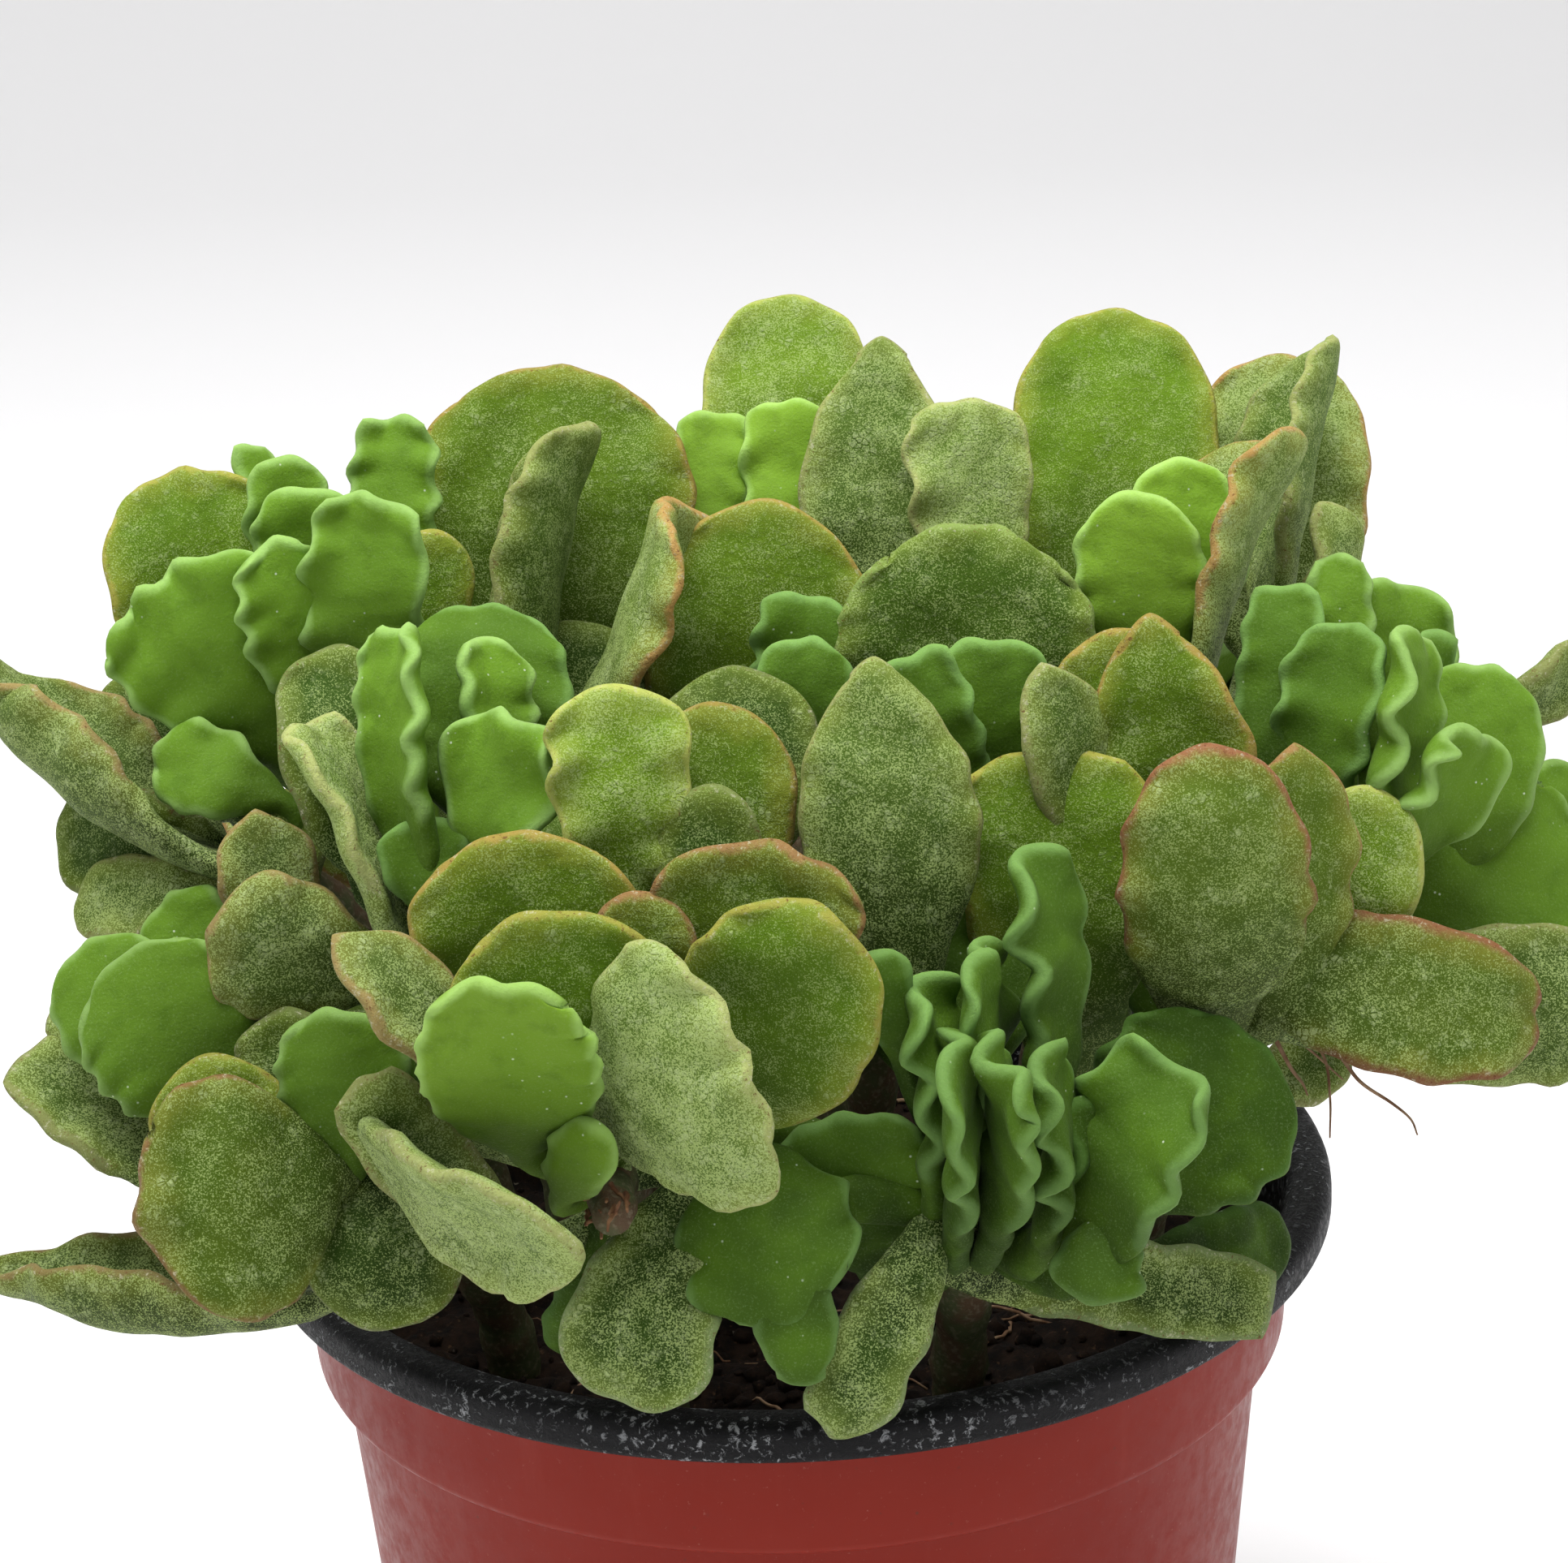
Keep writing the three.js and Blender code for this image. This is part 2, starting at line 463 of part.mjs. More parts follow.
function tube(curve, radius) {
  const section = new THREE.Shape();
  for (let k = 0; k < STEM_SIDES; k += 1) {
    const angle = (2 * Math.PI * k) / STEM_SIDES;
    const [x, y] = [radius * Math.cos(angle), radius * Math.sin(angle)];
    if (k === 0) section.moveTo(x, y);
    else section.lineTo(x, y);
  }
  section.closePath();
  return solid(new THREE.ExtrudeGeometry(section, { steps: STEM_STEPS, extrudePath: curve }));
}

// Where a leaf grows from its stem: off the axis, by the stem's point nearest to the blade's foot carried
// on downwards.
function jointOf(curve, foot, tip) {
  const heel = foot.clone().sub(tip).setLength(PETIOLE_REACH).add(foot);
  const points = curve.getPoints(CURVE_POINTS).slice(CURVE_POINTS / 4);
  const axis = points.reduce((best, each) => (each.distanceTo(heel) < best.distanceTo(heel) ? each : best));
  return foot.clone().sub(axis).setLength(JOINT_OFFSET).add(axis);
}

const radians = (degrees) => (degrees * Math.PI) / 180;

// The leaves of a shoot that faces the viewing point, from its rows of numbers.
function seenLeaves({ crown, root, leaves }) {
  const curve = stemCurve(root, seen(crown));
  return leaves.map((row, k) => {
    const [outline, a, u, b, fa, fu, fb, width, roll, bow, curl, wave, waves] = row;
    const [tip, foot] = [seen([a, u, b]), seen([fa, fu, fb])];
    return {
      form: OUTLINES[outline], tip, foot, joint: jointOf(curve, foot, tip), width, bow, wave, waves,
      facing: VIEW_AHEAD.clone().negate(), roll: radians(roll), curl: radians(curl),
      phase: WAVE_STEP * k, ...gridOf(width, wave),
    };
  });
}

// Repeatable draws between 0 and 1.
function draws(seed) {
  let state = seed * 7919;
  return () => {
    state = (state * 48271) % 2147483647;
    return state / 2147483647;
  };
}

const mix = ([from, to], t) => from + (to - from) * t;

// The leaves of a shoot on the far side: a spiral round the crown that closes upwards.
function rearLeaves({ root, crown, heading, spread, leaves, seed }) {
  const top = new THREE.Vector3(...crown);
  const curve = stemCurve(root, top);
  const draw = draws(seed);
  return Array.from({ length: leaves }, (_, k) => {
    const t = k / (leaves - 1);
    const turn = radians(heading + spread * (((k + seed) * GOLDEN_PART) % 1 - 0.5));
    const lift = radians(mix(REAR_LIFT, t));
    const length = mix(REAR_LENGTH, t) * mix(REAR_SCATTER, draw());
    const width = mix(REAR_WIDTH, t) * mix(REAR_SCATTER, draw());
    const roll = radians(REAR_TILT * (draw() - 0.5));
    const out = new THREE.Vector3(Math.cos(turn), Math.sin(turn), 0);
    const lie = out.clone().multiplyScalar(Math.cos(lift)).setZ(Math.sin(lift));
    const joint = curve.getPoint(mix(REAR_HEIGHT, t));
    const foot = joint.clone().addScaledVector(lie, REAR_FOOT * length);
    const tip = joint.clone().addScaledVector(lie, length);
    const facing = new THREE.Vector3(0, 0, 1).addScaledVector(out, -0.3);
    const { old, young, youngFrom } = REAR_OUTLINES;
    const { bow, wave, waves, curl } = REAR_FORM;
    return {
      form: OUTLINES[t > youngFrom ? young : old], tip, foot, joint, width, bow, wave, waves, facing,
      roll, curl: radians(curl), phase: WAVE_STEP * k, ...gridOf(width, wave),
    };
  });
}

const shoots = [
  ...Object.entries(SHOOTS).map(([name, shoot]) => (
    { name, curve: stemCurve(shoot.root, seen(shoot.crown)), stub: shoot.stub, leaves: seenLeaves(shoot) })),
  ...Object.entries(REAR_SHOOTS).map(([name, shoot]) => (
    { name, curve: stemCurve(shoot.root, new THREE.Vector3(...shoot.crown)), leaves: rearLeaves(shoot) })),
];

function shootSolid({ curve, stub, leaves }) {
  const stalk = stub && tube(new THREE.LineCurve3(curve.getPoint(1), seen(stub)), STUB_RADIUS);
  const stems = stalk ? tube(curve, STEM_RADIUS).add(stalk) : tube(curve, STEM_RADIUS);
  return leaves.reduce((sum, leaf) => sum.add(leafSolid(leaf)), stems);
}

// Pot: a thin sheet that runs from the floor up the wall, over the rolled rim and down again.
function potSolid() {
  const ledgeZ = RIM_FOOT_Z - COLLAR_HEIGHT;
  const lipTop = RIM_FOOT_Z + LIP_HEIGHT;
  const inner = RIM_RADIUS - LIP_WIDTH;
  const profile = [
    [0, 0],
    [BASE_RADIUS - BASE_FILLET, 0],
    [BASE_RADIUS, BASE_FILLET],
    [BODY_TOP_RADIUS, ledgeZ],
    [COLLAR_FOOT_RADIUS, ledgeZ],
    [COLLAR_TOP_RADIUS, RIM_FOOT_Z - 0.4],
    [RIM_RADIUS, RIM_FOOT_Z - 0.4],
    [RIM_RADIUS, lipTop - 1.2],
    [RIM_RADIUS - 1.2, lipTop],
    [inner + 1.2, lipTop],
    [inner, lipTop - 1.6],
    [COLLAR_FOOT_RADIUS - WALL, ledgeZ + WALL],
    [BODY_TOP_RADIUS - WALL, ledgeZ - WALL],
    [BASE_RADIUS - WALL, FLOOR],
    [0, FLOOR],
  ];
  let pot = turned(profile, POT_SIDES);
  for (let k = 0; k < DRAIN_HOLES; k += 1) {
    const angle = (2 * Math.PI * (k + 0.5)) / DRAIN_HOLES;
    const hole = new THREE.CylinderGeometry(DRAIN_RADIUS, DRAIN_RADIUS, 4 * FLOOR, 12).rotateX(Math.PI / 2)
      .translate(DRAIN_CIRCLE * Math.cos(angle), DRAIN_CIRCLE * Math.sin(angle), FLOOR / 2);
    pot = pot.subtract(solid(hole));
  }
  return pot;
}

// Soil: a plug that fills the pot's inside and has a slightly uneven top, with a hole for each stem.
function soilSolid() {
  const wallAt = (z) => {
    const t = (z - FLOOR) / (RIM_FOOT_Z - COLLAR_HEIGHT - WALL - FLOOR);
    return BASE_RADIUS - WALL + (BODY_TOP_RADIUS - BASE_RADIUS) * Math.min(1, t) - GAP;
  };
  const shoulder = RIM_FOOT_Z - COLLAR_HEIGHT - 2 * WALL;
  const bottom = FLOOR + GAP;
  const rings = [[0, bottom], [wallAt(bottom), bottom], [wallAt(shoulder), shoulder],
    ...[wallAt(shoulder), ...SOIL_RINGS].map((r) => [r, SOIL_Z])];
  const geometry = new THREE.LatheGeometry(rings.map(([r, z]) => new THREE.Vector2(r, z)), SOIL_SIDES)
    .rotateX(Math.PI / 2);
  const position = geometry.attributes.position;
  for (let k = 0; k < position.count; k += 1) {
    const [x, y, z] = [position.getX(k), position.getY(k), position.getZ(k)];
    const bump = SOIL_BUMP * (Math.sin(0.21 * x + 1) * Math.cos(0.17 * y) + 0.5 * Math.sin(0.37 * (x - y)));
    if (z > SOIL_Z - 0.5) position.setZ(k, z + bump);
  }
  return solid(geometry);
}

let soil = soilSolid();
shoots.forEach(({ curve }) => {
  soil = soil.subtract(tube(curve, STEM_RADIUS + GAP));
});

const pot = potSolid();
const part = new THREE.Group();
part.add(meshOf("pot", pot, 0x9c3d2e, 0.45));
part.add(meshOf("soil", largest(soil), 0x2a211c, 0.95));

shoots.forEach((shoot) => {
  part.add(meshOf(shoot.name, largest(shootSolid(shoot)), 0x6f9a3c, 0.5));
});

export default part;
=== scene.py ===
"""A clump of crinkle-leaf succulent in a round nursery pot, on a pale floor in soft light.

Blender works in metres, +Z up, from the middle of the pot's base. The pot and the plant are given in
millimetres, and so are the points, lengths and waves of their meshes until Heap.piece scales them.
"""

import math
from collections import namedtuple

import bmesh
import bpy
import numpy as np
from mathutils import Matrix, Vector


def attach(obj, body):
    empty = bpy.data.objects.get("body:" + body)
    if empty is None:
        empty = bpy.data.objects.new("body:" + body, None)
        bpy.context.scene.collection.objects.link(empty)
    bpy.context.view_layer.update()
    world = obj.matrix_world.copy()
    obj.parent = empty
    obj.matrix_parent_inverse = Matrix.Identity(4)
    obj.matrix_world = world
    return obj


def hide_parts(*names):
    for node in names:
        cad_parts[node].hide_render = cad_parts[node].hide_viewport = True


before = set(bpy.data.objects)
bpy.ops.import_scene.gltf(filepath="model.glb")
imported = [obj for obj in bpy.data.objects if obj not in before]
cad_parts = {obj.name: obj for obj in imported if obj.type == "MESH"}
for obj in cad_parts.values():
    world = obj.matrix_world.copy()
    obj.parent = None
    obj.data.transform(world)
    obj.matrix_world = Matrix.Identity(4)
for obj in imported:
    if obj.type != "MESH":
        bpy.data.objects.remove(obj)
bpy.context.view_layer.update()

MM = 0.001
FULL_TURN = 2 * math.pi

# The pot, in millimetres
RIM_RADIUS = 52.5
RIM_FOOT_Z = 88.0
LIP_HEIGHT = 3.4
LIP_WIDTH = 4.3
COLLAR_TOP_RADIUS = 48.6
COLLAR_FOOT_RADIUS = 47.9
COLLAR_HEIGHT = 12.3
BODY_TOP_RADIUS = 45.6
BASE_RADIUS = 39.0
WALL = 1.3
FLOOR = 2.0
SOIL_Z = 80.0

# The viewing point that the plant was measured from: across and up in the plane through the clump that
# faces it, and back along the line of sight.
VIEW_POINT = np.array([0.0, -359.3, 264.5])
VIEW_AHEAD = np.array([0.0016, 0.9376, -0.3476])
VIEW_RIGHT = np.array([0.9991, -0.0163, -0.0394])
VIEW_UP = np.array([0.0426, 0.3472, 0.9368])
VIEW_DISTANCE = 400.5
VIEW_ANGLE = 22.0

# Leaves, in millimetres
LEAF_THICKNESS = 2.5
SIDE_THINNING = 0.42
TIP_THINNING = 0.3
MARGIN_ROUND = 1.25
PETIOLE_THICKNESS = 2.7
PETIOLE_MIN = 1.1
PETIOLE_MAX = 2.3
PETIOLE_REACH = 9.0
JOINT_OFFSET = 0.7
LEAST_CURL = 1e-4
LOW_RELIEF = (0.3, 9)
FINE_RELIEF = (0.05, 2.2)
UNEVEN_SINES = 5
UNEVEN_SCATTER = (0.7, 1.6)

# The grid of a leaf: its columns, the length of its rows, and how much of their spacing is even, where the
# rest crowds towards the margin
WIDE_LEAF = 10
WIDE_COLUMNS = 26
NARROW_COLUMNS = 20
YOUNG_ROW = 0.55
OLD_ROW = 0.75
ROW_LIMITS = (18, 46)
PETIOLE_ROWS = 6
EVEN_ROWS = 0.55
EVEN_COLUMNS = 0.35

# Slow bends of a leaf's outline: how many go round it, and how high they are as a share of its half width
OUTLINE_BENDS = ((2, 0.022), (3, 0.02), (5, 0.012))
BEND_CENTRE = 0.25
BEND_RISE = 2.5
TIP_BEND = 0.4

# Waves along a margin. A leaf whose waves are this high is ruffled.
RUFFLED = 1.5
RUFFLE_STEP = 6.5
SCALLOP_STEP = 4.3
OLD_STEP = 6.0
STEP_SCATTER = (0.88, 1.12)
PHASE_STEP = 2.4
DRIFT, DRIFT_SPAN = 0.9, 4
STRENGTH, STRENGTH_SWING, SWING_SPAN = 0.8, 0.35, 6
OVERTONE, OVERTONE_PITCH = 0.25, 1.7
YOUNG_WAVE, OLD_WAVE = 0.72, 0.8
SCALLOP_SHARE, YOUNG_SCALLOP, OLD_SCALLOP = 0.22, 0.2, 0.08
TIP_SLANT = 0.85
CORNER_SOFTNESS = 0.8
CORNER_BLEND = 1.5
FADE_STEPS, FADE_POWER = 0.55, 1.3
WAVE_RISE = 3
FACE_SHARE = 0.5

# How a leaf's colours darken towards its foot, partly its own deeper green and partly painted shade between
# the leaves, and painted shade on leaves low in the clump with painted light on those high in it
LEAF_SCATTER = (0.92, 1.08)
FOOT_TONE_AND_PAINTED_SHADE, FOOT_TONE_AND_PAINTED_SHADE_END = (0.5, 1.05), 0.7
PAINTED_SHADE_AND_LIGHT_BY_HEIGHT, PAINTED_SHADE_FROM_Z, PAINTED_SHADE_Z_RANGE = (0.54, 1.4), 88, 72
FAR_FROM_MARGIN = 6
FOOT_MARGIN, FOOT_RISE = 4, 4

# Stems and the dried stalk, in millimetres
CURVE_POINTS = 24
ROOT_DEPTH = 9.0
STEM_RADIUS = 2.5
STEM_RINGS = 40
STEM_START = 0.02
STEM_CLOSING, STEM_END = 18, 0.96
STEM_KNOTS = ((0.07, 31), (0.05, 77))
STALK_RINGS = 14
STALK_RADII = (2.3, 1.7)
STALK_FIBRES = 26
FIBRE_RINGS = 6
FIBRE_RADII = (0.28, 0.12)

# Blade outlines: how wide the foot is, where the blade is widest, how fast it widens, how much it narrows
# to the tip, and how far the corners of the tip drop, with the power of that curve.
Outline = namedtuple("Outline", "foot widest ease narrow drop power")
OUTLINES = {
    "round": Outline(0.22, 0.55, 0.75, 0.36, 0.14, 2),
    "spoon": Outline(0.26, 0.7, 1.1, 0.34, 0.12, 2),
    "wedge": Outline(0.24, 0.8, 0.9, 0.16, 0.14, 2.4),
    "oval": Outline(0.5, 0.45, 0.9, 0.45, 0.1, 2),
    "egg": Outline(0.72, 0.4, 0.9, 0.45, 0.12, 2),
    "tail": Outline(0.6, 0.5, 0.9, 0.85, 0.1, 2),
    "spade": Outline(0.6, 0.35, 0.9, 0.78, 0.12, 1.5),
    "point": Outline(0.34, 0.5, 0.8, 0.66, 0.12, 1.3),
    "strap": Outline(0.55, 0.6, 0.8, 0.26, 0.08, 2),
}

# Finishes: the blade's colour, the colour of its margin, which on the young finishes is a painted pale
# sheen, how thickly pale flakes cover it, whether it is a young, smooth leaf, and how far the margin's
# colour reaches in mm.
Finish = namedtuple("Finish", "blade margin flakes young reach", defaults=[False, 0.5])
FINISHES = {
    "lime": Finish((0.094, 0.186, 0.014), (0.23, 0.37, 0.11), 0.05, True),
    "bright": Finish((0.136, 0.245, 0.020), (0.28, 0.44, 0.12), 0.05, True),
    "green": Finish((0.060, 0.125, 0.010), (0.16, 0.29, 0.08), 0.05, True),
    # A painted shade copy of the green finishes, for leaves that lie in shade far inside the clump
    "deep": Finish((0.034, 0.076, 0.005), (0.08, 0.17, 0.03), 0.05, True),
    "yellow": Finish((0.077, 0.145, 0.005), (0.26, 0.245, 0.045), 0.4),
    "light": Finish((0.097, 0.172, 0.007), (0.31, 0.34, 0.08), 0.7),
    "olive": Finish((0.067, 0.121, 0.004), (0.25, 0.175, 0.042), 0.4),
    "rust": Finish((0.070, 0.116, 0.006), (0.23, 0.118, 0.05), 0.45),
    "red": Finish((0.075, 0.121, 0.009), (0.22, 0.078, 0.042), 0.55, reach=0.8),
    "rustpale": Finish((0.088, 0.136, 0.018), (0.30, 0.17, 0.055), 0.85),
    "moss": Finish((0.037, 0.076, 0.004), (0.17, 0.24, 0.06), 0.5),
    "grey": Finish((0.051, 0.092, 0.010), (0.22, 0.24, 0.08), 0.7),
    "brown": Finish((0.053, 0.086, 0.012), (0.24, 0.17, 0.065), 0.7),
    "pale": Finish((0.092, 0.151, 0.021), (0.31, 0.34, 0.12), 1.0),
    # A painted shade copy of the old finishes, for leaves that lie in shade far inside the clump
    "dark": Finish((0.023, 0.051, 0.003), (0.12, 0.15, 0.045), 0.45),
    "frost": Finish((0.028, 0.063, 0.004), (0.25, 0.34, 0.13), 0.65, reach=0.6),
}

# Shoots. root: where the stem stands in the soil, x and y. crown: where it ends, across, up, back.
# stub: the end of a dried flower stalk that grows from the crown.
# Each leaf: finish, outline, then tip across, up, back, foot across, foot up, foot back, width, roll of
# the face in degrees, bow of the midrib, curl of the blade in degrees, height of the waves in its margin.
Shoot = namedtuple("Shoot", "root crown leaves stub", defaults=[None])
SHOOTS = {}
SHOOTS["shoot_upper_left"] = Shoot((-22, 6), (-46, 5, -22), [
    ("yellow", "round", -60, 31, -27, -54, 5, -25, 18.5, 10, 1.5, 40, 0.6),
    ("lime", "wedge", -62, 20.5, -36, -50, 3, -29, 18, 0, 1, 20, 1.4),
    ("lime", "spoon", -50.5, 24, -37, -47, 6, -29, 10.5, 20, 1, 30, 1.3),
    ("lime", "strap", -40.5, 28.5, -39, -42, 7, -31, 12, -10, 1, 40, 1.5),
    ("lime", "strap", -53, 33.5, -25, -50, 16, -24, 5, 40, 0, 30, 0.8),
    ("lime", "spoon", -49.5, 32.5, -29, -49, 15, -26, 8, 10, 0, 30, 1),
    ("lime", "spoon", -47.5, 29.5, -33, -47.5, 13, -28, 9.5, 0, 0, 20, 0.8),
    ("lime", "strap", -38.5, 36.5, -23, -39, 14, -24, 8.5, 0, 0, 40, 1.2),
    ("yellow", "round", -34, 25, -27, -37, 10, -26, 8.5, 10, 0, 20, 0.4),
])
SHOOTS["shoot_left"] = Shoot((-28, -4), (-49, -9, -32), [
    ("brown", "point", -80, 12, -22, -57, -8, -33, 22, 78, -3, 200, 1.4),
    ("dark", "round", -66, 10.5, -14, -54, -3, -20, 13, 0, 1, 20, 0.5),
    ("lime", "spoon", -62.5, 3, -34, -50, -2, -34, 9, 10, 0.5, 20, 0.8),
    ("dark", "spoon", -72, -4, -22, -54, -8, -30, 12, -10, 1, 30, 0.6),
    ("grey", "spoon", -70, -12, -26, -52, -12, -34, 8.5, 20, 1, 60, 0.6),
    ("lime", "spoon", -61.5, -11.5, -34, -55, -20, -36, 9, 0, 0, 20, 0.5),
    ("brown", "point", -52.5, -2.8, -37, -50, -16, -37, 9.5, 10, 0.5, 30, 0.4),
    ("dark", "spoon", -50, -1, -33, -47, -12, -34, 6, 0, 0, 20, 0.4),
])
SHOOTS["shoot_lower_left"] = Shoot((-27, -17), (-43, -38, -48), [
    ("brown", "spoon", -57.5, -14.5, -52, -39, -19.5, -46, 13.5, -15, 1.5, -30, 0.9),
    ("lime", "round", -66.5, -17.5, -48, -54.5, -32.5, -46, 16, 0, 1.5, 20, 0.7),
    ("lime", "round", -69.5, -16, -42, -60, -31, -43, 12, 0, 1, 20, 0.4),
    ("grey", "spoon", -72.8, -23, -36, -61, -29, -40, 5, 10, 0, 20, 0.3),
    ("grey", "strap", -75.5, -27.3, -38, -60, -39, -44, 11, 45, -1, 90, 0.6),
    ("yellow", "round", -58, -27, -52, -53, -43, -50, 12.5, 0, 1, 20, 0.6),
    ("rust", "round", -64, -43.5, -60, -45, -39, -53, 21.5, 0, 2.5, -20, 0.9),
    ("brown", "point", -80, -47.5, -36, -47, -52, -47, 18, 80, -3, 175, 0.9),
    ("lime", "round", -44.5, -22.3, -57, -43, -37, -52, 11.5, 0, 0.5, 20, 0.4),
    ("deep", "spoon", -40, -23, -52, -39, -36, -50, 7, 10, 0, 20, 0.3),
    ("dark", "spoon", -49.5, -22.5, -50, -48, -36, -49, 10, 0, 0, 20, 0.3),
    ("dark", "round", -42, -54.5, -52, -37, -38, -48, 14, 0, 2, -20, 0.5),
])
SHOOTS["shoot_rosette"] = Shoot((-14, -7), (-31, -12, -48), [
    ("green", "round", -29.5, 18, -43, -30.5, -4, -46, 16, 0, 1, 30, 0.9),
    ("lime", "strap", -38.3, 16, -54, -36, -9, -52, 10, -50, 0.5, 110, 1.1),
    ("lime", "spoon", -30, 14.5, -50, -28, -2, -50, 8.5, 40, 0.5, 80, 0.9),
    ("lime", "wedge", -27.5, 7, -57, -27.5, -12, -53, 11.5, -30, 1, 50, 1.6),
    ("green", "spoon", -36, -3.6, -54, -34.5, -14, -52, 8.5, 0, 0.5, 20, 0.8),
    ("dark", "round", -45, 13.2, -42, -42, -9, -44, 12, 10, 1, 40, 0.6),
    ("pale", "strap", -48.5, 5.5, -50, -38, -16, -49, 11.5, 65, 1, 110, 0.9),
])
SHOOTS["shoot_back_left"] = Shoot((-8, 15), (-18, 6, -24), [
    ("olive", "round", -22, 41.7, -13, -24, 11, -15, 27, 0, 1.5, 30, 0.4),
    ("grey", "strap", -19, 35.5, -28, -24.5, 7, -27, 24, -84, 1, 125, 0.5),
    ("rustpale", "strap", -11.5, 27.8, -38, -20, 5, -34, 25, 76, 1, 140, 0.6),
    ("olive", "oval", -1, 27.8, -33, -3.5, 1, -30, 21.5, 0, 1.5, 20, 0.5),
    ("green", "wedge", 2.5, 18.8, -41, 0, 3, -38, 9, 10, 0.5, 30, 0.9),
    ("green", "round", 2.5, 14.6, -46, 1, 0, -42, 9.5, 0, 0.5, 20, 0.5),
    ("dark", "round", -20.5, 16, -20, -20, 1, -24, 15, 0, 0.5, 20, 0.3),
])
SHOOTS["shoot_centre"] = Shoot((-5, -8), (-6, -24, -54), [
    ("light", "wedge", -16.5, 9.5, -61, -16, -16, -57, 12.5, 10, 1, 20, 1.2),
    ("olive", "round", -6, 8, -55, -8, -14, -54, 14, 0, 1, 20, 0.4),
    ("dark", "round", -7.5, -0.3, -60, -8, -16, -57, 9.5, 0, 0.5, 20, 0.4),
    ("dark", "round", -4, 11.4, -48, -5, -10, -50, 14.5, 0, 1, 20, 0.4),
    ("grey", "spade", 9, 13, -59, 11.5, -16, -56, 15.2, 0, 2, -30, 0.5),
    ("rust", "wedge", -1.5, -6.2, -68, -4, -26, -60, 18, 0, 1, 30, 0.9),
    ("rust", "round", -14.3, -10.8, -68, -13, -26, -61, 9.5, 0, 0.5, 20, 0.5),
    ("olive", "round", -27, -4.8, -67, -24, -24, -60, 19.5, 0, 1.5, 20, 0.4),
])
SHOOTS["shoot_centre_front"] = Shoot((-13, -27), (-17, -39, -58), [
    ("yellow", "round", -25.5, -12.8, -74, -18.5, -35, -63, 20, 0, 1.5, 20, 0.4),
    ("bright", "round", -28, -19.2, -82, -26, -36, -66, 14.8, 0, 1.5, 20, 0.8),
    ("pale", "wedge", -4, -27, -80, -18, -33, -65, 24, 0, 2, -25, 0.8),
    ("yellow", "round", 5.5, -13.5, -75, -8, -33, -61, 17.5, 0, 1.5, 20, 0.7),
    ("pale", "point", -19.5, -46.5, -78, -41, -35.5, -62, 16, 55, 1.5, 60, 0.6),
    ("grey", "strap", -42.5, -29.5, -66, -29, -45, -56, 8.5, 0, 1, 30, 0.5),
    ("brown", "point", -44.6, -15.4, -71, -31, -30, -67, 9.5, 45, 1, 70, 0.4),
    ("dark", "spoon", -36.5, -15, -62, -32, -26, -59, 7.5, 0, 0.5, 20, 0.4),
    ("bright", "round", -18.3, -33.8, -73, -22, -41, -66, 6, 0, 0.5, 20, 0.5),
    ("frost", "wedge", -16, -61.5, -61, -9.5, -40, -58, 13.5, 10, 2, 30, 0.7),
    ("deep", "spoon", -21, -57, -46, -19, -46, -50, 6, 0, 1, 20, 0.3),
], stub=(-17, -43, -67))
SHOOTS["shoot_back_centre"] = Shoot((8, 19), (12, 8, -24), [
    ("light", "round", 1, 48.3, -6, 0, 20, -10, 17, 0, 1, 20, 0.4),
    ("grey", "spade", 9.8, 44.2, -17, 9, 16, -18, 14.5, -15, 1, 70, 0.6),
    ("pale", "wedge", 17.7, 38.3, -21, 19, 13, -19, 12.5, 15, 1, 30, 0.7),
    ("pale", "strap", 23.5, 33, -3, 24, 15, -9, 6, 65, 0, 20, 0.4),
    ("bright", "wedge", -7, 36.6, -11, -6, 18, -13, 7.5, 0, 0.5, 20, 0.8),
    ("bright", "wedge", 0.5, 37.8, -13, 0, 16, -14, 9, 0, 0.5, 20, 0.8),
    ("lime", "spoon", 12.5, 30.5, -13, 12.5, 16, -15, 5.5, 0, 0, 20, 0.5),
    ("moss", "round", 18.5, 25.8, -41, 17, -1, -36, 24, 0, 1.5, 20, 0.9),
    ("green", "wedge", 19.5, 14, -49, 21.5, -4, -43, 11.5, 10, 1, 30, 1),
    ("green", "strap", 12.5, 12.8, -53, 18, -4, -47, 8, 0, 0.5, 40, 1),
])
SHOOTS["shoot_back_right"] = Shoot((24, 13), (38, 7, -24), [
    ("yellow", "round", 33, 46.8, -8, 32, 12, -12, 20.5, 0, 1.5, 20, 0.4),
    ("rustpale", "round", 50, 42.4, 0, 47, 12, -6, 18.5, 0, 1.5, 20, 0.6),
    ("grey", "spoon", 54.5, 44, -11, 48, 13, -15, 19, -80, 0.5, 120, 0.5),
    ("rustpale", "strap", 50.5, 34, -29, 40.5, 9, -31, 22, -78, 1, 130, 0.6),
    ("bright", "round", 35, 28.8, -38, 35.5, 10, -33, 12, 0, 1, 20, 0.6),
    ("bright", "round", 38.7, 32.4, -32, 40, 12, -29, 11.5, 10, 1, 20, 0.5),
    ("olive", "wedge", 33, 15.2, -46, 35, -8, -43, 13, 10, 1, 30, 0.7),
    ("olive", "spade", 36.2, 16.8, -53, 41, -9, -47, 15.5, -15, 1.5, 50, 0.8),
    ("grey", "point", 25.3, 12, -56, 31.5, -8, -48, 10, 30, 0.5, 20, 0.3),
    ("yellow", "strap", 25.8, 3, -53, 28.5, -22, -48, 18.5, 0, 1.5, 20, 0.8),
])
